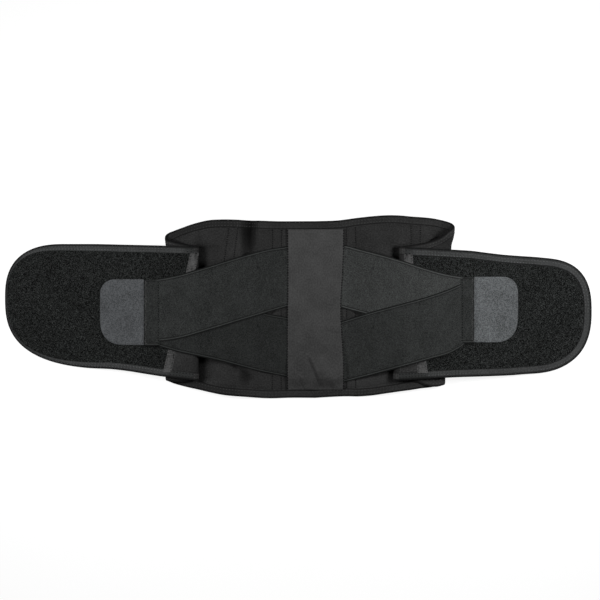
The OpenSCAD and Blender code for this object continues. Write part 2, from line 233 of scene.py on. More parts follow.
class Tree:
    """Short-hand for a node tree."""

    def __init__(self, tree: bpy.types.NodeTree) -> None:
        """Empties the tree."""
        self.tree = tree
        tree.nodes.clear()

    def feed(self, node: bpy.types.Node, inputs: dict) -> None:
        """Sets a node's inputs.

        Args:
            node: The node.
            inputs: Sockets by name or number, each a value or another node's socket.
        """
        for key, value in inputs.items():
            if isinstance(value, Socket):
                self.tree.links.new(value, node.inputs[key])
            else:
                node.inputs[key].default_value = value

    def add(self, kind: str, inputs: dict | None = None, **settings: object) -> bpy.types.Node:
        """Adds a node.

        Args:
            kind: Node type without the prefix that all of them share.
            inputs: Inputs to set, as for feed.
            settings: Properties of the node.

        Returns:
            The node.
        """
        node = self.tree.nodes.new("ShaderNode" + kind)
        for key, value in settings.items():
            setattr(node, key, value)
        self.feed(node, inputs or {})
        return node

    def math(self, operation: str, a: object, b: object = 0.0) -> Socket:
        """Two patterns or numbers, combined by the operation that Blender calls so."""
        return self.add("Math", {0: a, 1: b}, operation=operation).outputs[0]


class Nodes(Tree):
    """Node tree of one material, with patterns on the piece's own map."""

    WAVE_SCALE = 0.314159  # wave texture's scale for stripes 1 mm apart

    def __init__(self, name: str) -> None:
        """Starts an empty material with a shader.

        Args:
            name: The material's name.
        """
        self.material = bpy.data.materials.new(name)
        self.material.use_nodes = True
        super().__init__(self.material.node_tree)
        self.shader = self.add("BsdfPrincipled")
        self.add("OutputMaterial", {0: self.shader.outputs[0]})

    @cached_property
    def lay(self) -> Socket:
        """The piece's own map, in millimetres along and across the cloth."""
        return self.add("UVMap", uv_map="lay").outputs[0]

    @cached_property
    def along(self) -> Socket:
        """Millimetres along the cloth."""
        return self.add("SeparateXYZ", {0: self.lay}).outputs[0]

    @cached_property
    def across(self) -> Socket:
        """Millimetres across the cloth."""
        return self.add("SeparateXYZ", {0: self.lay}).outputs[1]

    def drawn(self, stretch: Triple) -> Socket:
        """The map times three factors, to draw a pattern out."""
        return self.add("VectorMath", {0: self.lay, 1: stretch}, operation="MULTIPLY").outputs[0]

    def noise(self, size: float, detail: float = 2.0, stretch: Triple = (1, 1, 1)) -> Socket:
        """Cloudy pattern from 0 to 1.

        Args:
            size: Width of a cloud in millimetres.
            detail: How many finer layers it has.
            stretch: Factors on the map.

        Returns:
            The pattern.
        """
        inputs = {"Vector": self.drawn(stretch), "Scale": 1.0 / size, "Detail": detail}
        return self.add("TexNoise", inputs | {"Roughness": 0.6}).outputs[0]

    def clouds(self, size: float, stretch: Triple = (1, 1, 1)) -> Socket:
        """Cloudy pattern with strong contrast."""
        return self.fit(self.noise(size, stretch=stretch), 0.36, 0.64)

    def stripes(self, axis: Axis, pitch: float, wander: float = 0.0) -> Socket:
        """Rounded stripes from 0 to 1.

        Args:
            axis: Which coordinate they cross.
            pitch: Millimetres from one stripe to the next.
            wander: How far they stray from straight.

        Returns:
            The pattern.
        """
        inputs = {"Vector": self.lay, "Scale": self.WAVE_SCALE / pitch}
        inputs |= {"Distortion": wander, "Detail Scale": 2.0}
        return self.add("TexWave", inputs, bands_direction=axis.value).outputs["Fac"]

    def cells(self, size: float, output: str, stretch: Triple = (1, 1, 1)) -> Socket:
        """Small scattered cells: one output of the texture, at a usual width in millimetres."""
        inputs = {"Vector": self.drawn(stretch), "Scale": 1.0 / size}
        return self.add("TexVoronoi", inputs).outputs[output]

    def tufts(self, size: float, stretch: Triple = (1, 1, 1)) -> Socket:
        """Small cells, each at a level of its own from 0 to 1."""
        return self.add("SeparateColor", {0: self.cells(size, "Color", stretch)}).outputs[0]

    def sum(self, *terms: tuple[Socket, float]) -> Socket:
        """Adds patterns up.

        Args:
            terms: Each pattern with its weight.

        Returns:
            The sum.
        """
        first, *others = (
            pattern if weight == 1 else self.math("MULTIPLY", pattern, weight)
            for pattern, weight in terms
        )
        for part in others:
            first = self.math("ADD", first, part)
        return first

    def fit(self, value: Socket, low: float, high: float,
            to_low: float = 0.0, to_high: float = 1.0) -> Socket:
        """Stretches a pattern from one range onto another, held at its ends."""
        inputs = {0: value, 1: low, 2: high, 3: to_low, 4: to_high}
        return self.add("MapRange", inputs).outputs[0]

    def mix(self, factor: Socket, a: object, b: object) -> Socket:
        """Colour a where a pattern is 0, and b where it is 1."""
        return self.add("Mix", {0: factor, 6: a, 7: b}, data_type="RGBA").outputs[2]

    def patch(self, x: float, y: float, rx: float, ry: float) -> Socket:
        """A soft oval on the piece's map: 1 at its middle, 0 at its rim.

        Args:
            x: Its middle along the map.
            y: Its middle across.
            rx: Half its length.
            ry: Half its width.

        Returns:
            The oval.
        """
        squares = []
        for place, middle, half in ((self.along, x, rx), (self.across, y, ry)):
            d = self.math("DIVIDE", self.math("SUBTRACT", place, middle), half)
            squares.append(self.math("MULTIPLY", d, d))
        return self.fit(self.math("ADD", *squares), 1.0, 0.0)

    def finish(self, colour: Socket, height: Socket, depth: float, roughness: Socket,
               sheen: float = 0.0, metal: float = 0.0, gloss: float = 0.3) -> None:
        """Connects the shader.

        Args:
            colour: Base colour.
            height: Relief from 0 to 1.
            depth: Millimetres that the relief spans.
            roughness: Pattern of the roughness.
            sheen: Soft light on fibres at grazing angles.
            metal: 1 for bare metal.
            gloss: Specular level.
        """
        bump = self.add("Bump", {"Height": height, "Distance": depth * MM, "Strength": 1.0})
        self.feed(self.shader, {
            "Base Color": colour, "Normal": bump.outputs[0], "Roughness": roughness,
            "Sheen Weight": sheen, "Sheen Roughness": 0.5,
            "Metallic": metal, "Specular IOR Level": gloss,
        })


@dataclass(frozen=True)
class Finish:
    """What a piece is made of: its colour on screen and how far that varies."""

    name: str
    slot: str
    colour: Triple
    spread: float = 0.2

    def shade(self, factor: float) -> tuple[float, float, float, float]:
        """The finish's colour times a factor, as a linear colour."""
        r, g, b, _ = linear(self.colour)
        return (r * factor, g * factor, b * factor, 1.0)

    def ends(self, middle: float = 1.0) -> tuple[tuple, tuple]:
        """The darkest and the lightest shade about a middle one."""
        return self.shade(middle - self.spread), self.shade(middle + self.spread)

    def dress(self, nodes: Nodes) -> None:
        """Builds the finish's nodes in a material."""
        raise NotImplementedError

    @property
    def material(self) -> bpy.types.Material:
        """The finish as a material, made once.

        Returns:
            The material.
        """
        found = bpy.data.materials.get(self.name)
        if found is None:
            nodes = Nodes(self.name)
            self.dress(nodes)
            found = nodes.material
        return found


@dataclass(frozen=True)
class LoopPile(Finish):
    """Brushed loops that hooks catch in: clumped, soft and dark between the clumps."""

    fresh: float = 2.6
    worn_and_painted_light: float = 3.6

    def dress(self, nodes: Nodes) -> None:
        """Tufts at levels of their own in loose clumps over a slow mottling.

        Args:
            nodes: The material to build in.
        """
        tufts = nodes.fit(nodes.tufts(0.5), 0.55, 1.0)
        clumps = nodes.fit(nodes.noise(4.0), 0.34, 0.66)
        pile = nodes.sum((tufts, 0.92), (clumps, 0.08))
        rubbed = nodes.fit(nodes.noise(38.0, 3.0), 0.35, 0.7)
        tips = (self.shade(1 + by * self.spread) for by in (self.fresh, self.worn_and_painted_light))
        colour = nodes.mix(pile, self.shade(1 - self.spread), nodes.mix(rubbed, *tips))
        rough = nodes.fit(pile, 0.0, 1.0, 1.0, 0.88)
        nodes.finish(colour, pile, 0.7, rough, sheen=0.02, gloss=0.01)


@dataclass(frozen=True)
class WovenCloth(Finish):
    """Dense plain weave of the back, the folds and the wing roots, with ovals of painted shade and
    light.

    A crease is an oval's middle and half sizes, how strongly it shows, and its painted tone: below
    1 painted shade in a crease or hollow, above 1 painted light.
    """

    pitch: float = 0.9
    # ovals of painted shade in creases and hollows, and of painted light
    creases: tuple[tuple[float, float, float, float, float, float], ...] = ()

    def dress(self, nodes: Nodes) -> None:
        """Warp and weft over each other, with slubs and slow rubbed patches.

        Args:
            nodes: The material to build in.
        """
        warp, weft = (nodes.stripes(axis, self.pitch, 0.6) for axis in (Axis.ALONG, Axis.ACROSS))
        weave = nodes.math("MAXIMUM", warp, weft)
        slubs = nodes.clouds(1.7)
        rubbed = nodes.fit(nodes.noise(24.0, 3.0), 0.36, 0.66)
        tone = nodes.sum((weave, 0.15), (slubs, 0.6), (rubbed, 0.25))
        colour = nodes.mix(tone, *self.ends())
        # each oval mixes in painted shade where its factor is below 1, and painted light where it
        # is above
        for *oval, pressed_and_painted_shade, shade in self.creases:
            part = nodes.math("MULTIPLY", nodes.patch(*oval), pressed_and_painted_shade)
            colour = nodes.mix(part, colour, self.shade(shade))
        rough = nodes.fit(slubs, 0.0, 1.0, 0.8, 0.94)
        relief = nodes.sum((weave, 0.6), (slubs, 1))
        nodes.finish(colour, relief, 0.3, rough, sheen=0.02, gloss=0.01)


@dataclass(frozen=True)
class ElasticWeb(Finish):
    """Woven elastic: cords along it, fine picks across and a firm edge."""

    half: float = 38.5

    def line(self, nodes: Nodes, *inward: float) -> Socket:
        """Line along both edges of the web.

        Args:
            nodes: The material to build in.
            inward: Distances from the edge at which it starts to show, shows in full,
                starts to fade and ends; without the last two it goes on to the edge.

        Returns:
            The pattern.
        """
        away = nodes.math("ABSOLUTE", nodes.across)
        at = [self.half - d for d in inward]
        shown = nodes.fit(away, at[0], at[1])
        if len(at) == 2:
            return shown
        return nodes.math("MULTIPLY", shown, nodes.fit(away, at[3], at[2]))

    def dress(self, nodes: Nodes) -> None:
        """Ribs along the band, picks across, and at both edges a painted highlight between two
        painted dark lines of shade.

        Args:
            nodes: The material to build in.
        """
        ribs = nodes.stripes(Axis.ACROSS, 1.25, 0.25)
        picks = nodes.stripes(Axis.ALONG, 1.7, 0.8)
        grain = nodes.fit(nodes.tufts(0.5, (0.9, 1.1, 1.0)), 0.35, 0.65)
        tone = nodes.sum((ribs, 0.16), (picks, 0.08), (grain, 0.62))
        colour = nodes.mix(nodes.sum((tone, 1), (nodes.clouds(30.0), 0.14)), *self.ends())
        # painted shade in the groove inside each edge (also pressed in as relief), a painted
        # highlight on the rolled edge and a painted shadow along the rim
        groove_and_painted_shade = self.line(nodes, 4.2, 3.4, 3.0, 2.6)
        edge = self.line(nodes, 2.7, 2.4, 1.6, 1.3)
        rim = self.line(nodes, 1.6, 1.2)
        for line, strength, shade in ((groove_and_painted_shade, 0.75, 0.3), (edge, 0.55, 2.0), (rim, 0.85, 0.2)):
            colour = nodes.mix(nodes.math("MULTIPLY", line, strength), colour, self.shade(shade))
        rough = nodes.fit(grain, 0.0, 1.0, 0.78, 0.9)
        relief = nodes.math("SUBTRACT", tone, groove_and_painted_shade)
        nodes.finish(colour, relief, 0.4, rough, sheen=0.03, gloss=0.03)


@dataclass(frozen=True)
class SatinSheet(Finish):
    """Close satin nylon with a soft shine, which can be painted lighter at its top and darker
    towards its lower end, as light falls.
    """

    # share of painted light at the top and painted shade at the lower end
    fade: float = 0.0
    reach: float = 100.0

    def dress(self, nodes: Nodes) -> None:
        """A slanted rib, drawn-out streaks and slow rubbed patches.

        Args:
            nodes: The material to build in.
        """
        rib = nodes.stripes(Axis.SLANTED, 1.1, 0.4)
        streaks = nodes.clouds(1.9, (1.0, 0.8, 1.0))
        rubbed = nodes.clouds(34.0)
        tone = nodes.sum((streaks, 0.5), (rubbed, 0.4), (rib, 0.1))
        # painted light towards the top and painted shade towards the lower end
        upper, lower = (nodes.mix(tone, *self.ends(1 + by)) for by in (self.fade, -self.fade))
        down = nodes.fit(nodes.across, self.reach, -self.reach)
        rough = nodes.fit(rubbed, 0.0, 1.0, 0.5, 0.64)
        nodes.finish(nodes.mix(down, upper, lower), tone, 0.16, rough, sheen=0.03, gloss=0.12)


@dataclass(frozen=True)
class RibbedTape(Finish):
    """Binding tape: ribs across it, with painted shade where it rolls under and a painted shadow
    along its sewn edge.

    Its map goes across in millimetres from the folded edge. The first part of its length
    can be a darker run, and a crease of painted shade can be an oval's middle and half sizes.
    """

    pitch: float = 1.9
    dark_run: float = -100.0
    # from the folded edge, where its painted shade ends
    roll: float = 2.4
    # an oval of painted shade where a valley crosses the tape
    crease: tuple[float, float, float, float] | None = None

    def dress(self, nodes: Nodes) -> None:
        """Ribs across the tape, broken up by fine grain, and painted shade in a dark line along
        both edges.

        Args:
            nodes: The material to build in.
        """
        ribs = nodes.stripes(Axis.ALONG, self.pitch, 0.5)
        grain = nodes.clouds(2.0)
        tone = nodes.sum((ribs, 0.35), (grain, 0.45))
        shade = nodes.sum((tone, 1), (nodes.clouds(28.0), 0.2))
        bright = nodes.fit(nodes.along, self.dark_run - 6, self.dark_run + 6, 0.45, 1.0)
        colour = nodes.mix(nodes.math("MULTIPLY", shade, bright), *self.ends())
        # painted shade on the rolled edge and a painted shadow along the sewn one
        rolled_edge_shade = nodes.fit(nodes.across, self.roll, 1.0, 0.0, 0.9)
        sewn = nodes.fit(nodes.across, 8.8, 9.3, 0.0, 0.8)
        colour = nodes.mix(nodes.math("MAXIMUM", rolled_edge_shade, sewn), colour, self.shade(0.15))
        # painted shade where the valley crosses the tape
        if self.crease:
            part = nodes.math("MULTIPLY", nodes.patch(*self.crease), 0.75)
            colour = nodes.mix(part, colour, self.shade(0.12))
        rough = nodes.fit(grain, 0.0, 1.0, 0.7, 0.85)
        nodes.finish(colour, tone, 0.35, rough, sheen=0.02, gloss=0.02)


@dataclass(frozen=True)
class BasketBacking(Finish):
    """Smooth woven backing of a hook tab."""

    def dress(self, nodes: Nodes) -> None:
        """Small basket weave with pale flecks.

        Args:
            nodes: The material to build in.
        """
        weave = nodes.math(
            "MULTIPLY", *(nodes.stripes(axis, 1.5, 0.7) for axis in (Axis.ALONG, Axis.ACROSS))
        )
        fleck = nodes.fit(nodes.tufts(0.95), 0.25, 0.75)
        tone = nodes.sum((weave, 0.2), (fleck, 0.6))
        colour = nodes.mix(nodes.sum((tone, 1), (nodes.clouds(26.0), 0.2)), *self.ends())
        rough = nodes.fit(fleck, 0.0, 1.0, 0.66, 0.82)
        nodes.finish(colour, tone, 0.35, rough, sheen=0.06, gloss=0.12)


@dataclass(frozen=True)
class HookField(Finish):
    """Rows of small moulded hooks."""

    def dress(self, nodes: Nodes) -> None:
        """Dots in rows, dull between them and glossy on top.

        Args:
            nodes: The material to build in.
        """
        rows = nodes.stripes(Axis.ALONG, 1.9)
        dots = nodes.math("MULTIPLY", rows, nodes.stripes(Axis.ACROSS, 1.5))
        dust = nodes.noise(9.0, 4.0)
        tone = nodes.fit(nodes.sum((dots, 1), (dust, 0.3)), 0.1, 1.0)
        rough = nodes.fit(dust, 0.3, 0.7, 0.4, 0.6)
        nodes.finish(nodes.mix(tone, *self.ends()), dots, 1.0, rough, gloss=0.45)


@dataclass(frozen=True)
class KnitMesh(Finish):
    """Airy knitted lining that lies against the wearer."""

    def dress(self, nodes: Nodes) -> None:
        """Round openings in a knit, flattened in patches.

        Args:
            nodes: The material to build in.
        """
        openings = nodes.fit(nodes.cells(3.0, "Distance"), 0.18, 0.42)
        yarn = nodes.stripes(Axis.ACROSS, 1.0, 1.2)
        pressed_and_painted_shade = nodes.noise(26.0, 3.0)
        knit = nodes.sum((openings, 0.7), (yarn, 0.3))
        tone = nodes.fit(nodes.sum((knit, 1), (pressed_and_painted_shade, 0.4)), 0.1, 1.3)
        rough = nodes.fit(pressed_and_painted_shade, 0.3, 0.7, 0.8, 0.95)
        nodes.finish(nodes.mix(tone, *self.ends()), knit, 0.7, rough, sheen=0.1, gloss=0.2)


@dataclass(frozen=True)
class SewingThread(Finish):
    """Twisted sewing thread."""

    def dress(self, nodes: Nodes) -> None:
        """Slanted plies, some of them worn paler.

        Args:
            nodes: The material to build in.
        """
        plies = nodes.stripes(Axis.SLANTED, 0.5, 0.3)
        worn_and_painted_light = nodes.noise(4.0)
        tone = nodes.fit(nodes.sum((plies, 0.5), (worn_and_painted_light, 0.7)), 0.3, 0.9)
        rough = nodes.fit(worn_and_painted_light, 0.3, 0.7, 0.85, 0.95)
        nodes.finish(nodes.mix(tone, *self.ends()), plies, 0.1, rough, gloss=0.05)


@dataclass(frozen=True)
class SpringSteel(Finish):
    """Blued steel strip, ground lengthwise."""

    def dress(self, nodes: Nodes) -> None:
        """Fine scratches along the strip under patches of tarnish.

        Args:
            nodes: The material to build in.
        """
        ground = nodes.noise(0.6, 3.0, (1.0, 0.03, 1.0))
        tarnish = nodes.fit(nodes.noise(14.0, 3.0), 0.3, 0.7)
        rough = nodes.fit(ground, 0.3, 0.7, 0.28, 0.48)
        nodes.finish(nodes.mix(tarnish, *self.ends()), ground, 0.02, rough, metal=1.0, gloss=0.5)


class Dress:
    """The belt's finishes, by side or edge where the two differ."""

    # ovals of painted shade in the top valley, beside the left root and in a lower crease, and a
    # painted pool of light at the lower right
    CLOTH_WITH_PAINTED_SHADE = WovenCloth("back_cloth_painted_shade", "cloth", (46, 46, 46), 0.5, creases=(
        (-86.8, 106.0, 13.5, 48.0, 0.85, 0.12), (-152.0, -8.0, 13.5, 120.0, 0.75, 0.12),
        (-92.0, -87.0, 10.0, 15.0, 0.55, 0.12), (68.0, -96.0, 48.0, 26.0, 0.32, 1.9)))
    # the right root's cloth is a lighter copy of the back cloth: painted light
    ROOT_RIGHT_PAINTED_LIGHTER = {
        Side.LEFT: CLOTH_WITH_PAINTED_SHADE,
        Side.RIGHT: WovenCloth("root_cloth", "cloth", (51, 51, 51), 0.5),
    }
    FOLD = WovenCloth("fold_cloth", "cloth", (42, 42, 42), 0.4)
    LOOP = LoopPile("loop_pile", "loop", (34.5, 36, 35.5), 0.95)
    # the four bands are one elastic, painted darker or lighter as light falls on each
    WEB_PAINTED_DARKEST = ElasticWeb("web_painted_darkest", "elastic", (40, 41.5, 41), 0.74)
    WEB_PAINTED_DARKER = ElasticWeb("web_painted_darker", "elastic", (46, 47.5, 47), 0.78)
    WEB_PAINTED_MIDDLE = ElasticWeb("web_painted_middle", "elastic", (47, 48.5, 48), 0.72)
    WEB_PAINTED_LIGHTEST = ElasticWeb("web_painted_lightest", "elastic", (57.5, 59, 58.5), 0.68)
    HEM = ElasticWeb("hem_web", "elastic", (43, 44.5, 44), 0.8, half=43.5)
    # the cover's fade is painted light at its top and painted shade at its lower end
    COVER = SatinSheet("spine_satin", "satin", (54, 54, 54), 0.4, fade=0.2)
    JOINT = SatinSheet("joint_satin", "satin", (61, 61, 61), 0.8)
    # the top tape has painted shade where the valley crosses it
    BACK_TAPE = {
        Level.UPPER: RibbedTape("top_tape_painted_shade", "binding", (44, 44, 44), 0.5,
                                crease=(-85.0, 5.0, 13.0, 60.0)),
        Level.LOWER: RibbedTape("back_tape", "binding", (44, 44, 44), 0.5),
    }
    # the right fold's tape is a lighter copy, darkened before its second bend: painted light on
    # that bend
    FOLD_TAPE_PAINTED_LIGHT_ON_RIGHT = {
        Side.LEFT: BACK_TAPE[Level.LOWER],
        Side.RIGHT: RibbedTape("fold_tape", "binding", (54, 54, 54), 0.5, dark_run=238.0),
    }
    # its wider rolled edge is painted shade
    WING_TAPE = RibbedTape("wing_tape", "binding", (57, 58, 58), 0.5, dark_run=32.0, roll=3.8)
    # the two tabs are one backing, the left painted darker and the right lighter, as light falls
    TAB_PAINTED_LIGHT_AND_SHADE = {
        Side.LEFT: BasketBacking("left_tab_weave", "tab", (70, 72, 74), 0.6),
        Side.RIGHT: BasketBacking("right_tab_weave", "tab", (81, 83.5, 85), 0.64),
    }
    HOOKS = HookField("hook_field", "hooks", (34, 34, 35), 0.5)
    LINING = KnitMesh("lining_knit", "lining", (38, 38, 39), 0.45)
    DARK_THREAD = SewingThread("dark_thread", "binding", (13, 13, 13), 0.3)
    HEM_THREAD = SewingThread("hem_thread", "binding", (58, 58, 58), 0.3)
    MID_THREAD = SewingThread("mid_thread", "binding", (64, 64, 64), 0.3)
    PALE_THREAD = SewingThread("pale_thread", "binding", (78, 79, 80), 0.3)
    STEEL = SpringSteel("blued_steel", "spring_steel", (150, 154, 160), 0.25)


class Piece:
    """Mesh of one visible piece, gathered from slabs and tubes in millimetres."""

    SHARP = math.radians(50)

    def __init__(self, name: str, finish: Finish) -> None:
        """Starts an empty piece.

        Args:
            name: The object's name.
            finish: What it is made of.
        """
        self.name = name
        self.finish = finish
        self.area = 0.0
        self._points: list[Array] = []
        self._maps: list[Array] = []
        self._faces: list[list[int]] = []
        self._count = 0

    def _take(self, points: Array, lay: Array) -> int:
        """Adds points.

        Args:
            points: The points.
            lay: Map of each of them.

        Returns:
            The number of the first one.
        """
        first = self._count
        self._points.append(points.reshape(-1, 3))
        self._maps.append(np.broadcast_to(lay, (*points.shape[:-1], 2)).reshape(-1, 2))
        self._count += points.size // 3
        return first

    @staticmethod
    def _skin(rings: tuple[int, int]) -> tuple[Array, Array]:
        """Faces of a closed profile that is carried along a path.

        Args:
            rings: How many rings it has, and how many points each of them.

        Returns:
            The quads between the rings, and the caps at both ends.
        """
        number = np.arange(rings[0] * rings[1]).reshape(rings)
        turn = np.roll(number, -1, axis=1)
        quads = np.stack([number[:-1], number[1:], turn[1:], turn[:-1]], -1).reshape(-1, 4)
        return quads, np.stack([number[0], number[-1, ::-1]])

    def slab(self, top: Array, bottom: Array, lay: Array) -> None:
        """Closed slab between two grids, with a wall round its rim.

        Args:
            top: Grid of points of the upper face.
            bottom: Grid of the same shape.
            lay: Map of each grid point.
        """
        n, m = top.shape[:2]
        upper, under = self._take(top, lay), self._take(bottom, lay)
        number = np.arange(n * m).reshape(n, m)
        corners = number[:-1, :-1], number[1:, :-1], number[1:, 1:], number[:-1, 1:]
        quads = np.stack(corners, -1).reshape(-1, 4)
        edges = number[0, :-1], number[:-1, -1], number[-1, :0:-1], number[:0:-1, 0]
        rim = np.concatenate(edges)
        after = np.roll(rim, -1)
        wall = np.stack([upper + rim, upper + after, under + after, under + rim], -1)
        self._faces += (upper + quads).tolist() + (under + quads[:, ::-1]).tolist() + wall.tolist()
        a, b = top[1:, 1:] - top[:-1, :-1], top[1:, :-1] - top[:-1, 1:]
        self.area += float(np.linalg.norm(np.cross(a, b), axis=-1).sum()) / 2

    def tube(self, rings: Array, lay: Array) -> None:
        """Closed profile carried along a path, with a flat cap at each end.

        Args:
            rings: Points by place along the path and place round the profile.
            lay: Map of each of them.
        """
        first = self._take(rings, lay)
        quads, caps = self._skin(rings.shape[:2])
        self._faces += (first + quads).tolist() + (first + caps).tolist()

    def beads(self, centres: Array, along: Array, up: Array, bead: Array, lay: Array) -> None:
        """Copies of one small closed form, each turned to its own place.

        Args:
            centres: One point for each copy.
            along: Direction that the form's X takes there.
            up: Direction that the form's Z takes there.
            bead: Rings of the form's own points.
            lay: Map of each copy.
        """
        n, k = bead.shape[:2]
        turn = np.stack([along, np.cross(up, along), up], axis=1)
        points = centres[:, None, None] + np.einsum("nkc,pcd->pnkd", bead, turn)
        first = self._take(points, lay[:, None, None])
        quads, caps = self._skin((n, k))
        shift = first + n * k * np.arange(len(centres))[:, None, None]
        self._faces += (shift + quads).reshape(-1, 4).tolist()
        self._faces += (shift + caps).reshape(-1, k).tolist()

    def build(self) -> bpy.types.Object:
        """Makes the object, its faces pointing outwards.

        Returns:
            The object, at the origin with its place in its mesh.
        """
        mesh = bpy.data.meshes.new(self.name)
        points = np.concatenate(self._points) * MM
        mesh.from_pydata(points.tolist(), [], self._faces)
        layer = mesh.uv_layers.new(name="lay")
        corners = np.empty(len(mesh.loops), np.int32)
        mesh.loops.foreach_get("vertex_index", corners)
        lay = np.concatenate(self._maps)[corners].astype(np.float32)
        layer.data.foreach_set("uv", lay.ravel())
        work = bmesh.new()
        work.from_mesh(mesh)
        bmesh.ops.recalc_face_normals(work, faces=work.faces)
        work.to_mesh(mesh)
        work.free()
        mesh.polygons.foreach_set("use_smooth", np.ones(len(mesh.polygons), bool))
        mesh.set_sharp_from_angle(angle=self.SHARP)
        mesh.materials.append(self.finish.material)
        thing = bpy.data.objects.new(self.name, mesh)
        bpy.context.scene.collection.objects.link(thing)
        LOG.info("%s: %d faces", self.name, len(mesh.polygons))
        return thing

    def solid(self, *nodes: str) -> bpy.types.Object:
        """Builds the piece in place of CAD nodes.

        Args:
            nodes: The nodes.

        Returns:
            The object.
        """
        thing = self.build()
        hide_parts(*nodes)
        return thing

    def padded(self, fill: float, *nodes: str) -> bpy.types.Object:
        """Builds the piece in place of CAD nodes.

        Args:
            fill: Not used.
            nodes: The nodes.

        Returns:
            The object.
        """
        thing = self.build()
        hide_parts(*nodes)
        return thing

    def sheet(self, under: str, *nodes: str, held: str = "stretched") -> bpy.types.Object:
        """Builds the piece as one sheet of cloth, and works out the size of its map.

        Args:
            under: Not used.
            nodes: CAD nodes that it stands for.
            held: Not used.

        Returns:
            The object.
        """
        thing = self.build()
        width, length = np.ptp(np.concatenate(self._maps), axis=0) * MM
        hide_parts(*nodes)
        return thing


@dataclass(frozen=True)
class Valley:
    """Valley down from the back's top edge, with a soft outer and a steep inner wall.

    Its floor widens and moves in towards the top edge.
    """

    x: float = 87.0
    moves_in: float = 1.5
    widens: tuple[float, float] = (77.0, 113.0)  # heights over which the floor does so
    floor: tuple[float, float] = (0.8, 1.6)  # half its width, and what is added at the top
    inner: tuple[float, float] = (8.0, 4.0)  # inner wall's width, and what is added at the top
    outer: float = 13.0  # outer wall's width
    spine: tuple[float, float] = (71.0, 39.0)  # lengths over which the panel falls to the spine

    def __call__(self, u: Array, y: Array, top: Array) -> Array:
        """Share of the back's bow that is left in the valley and beside it.

        Args:
            u: Lengths along the side.
            y: Heights.
            top: How far each place belongs to the back's top part.

        Returns:
            The share at each place.
        """
        low, high = self.widens
        spread = np.clip((y - low) / (high - low), 0.0, 1.0)
        off = u - self.x + self.moves_in * spread
        floor = self.floor[0] + self.floor[1] * spread
        inner = smooth((-off - floor) / (self.inner[0] + self.inner[1] * spread))
        inner = inner * (1 - ease(u, *self.spine)) * top
        return np.where(off > 0, smooth((off - floor) / self.outer), inner)


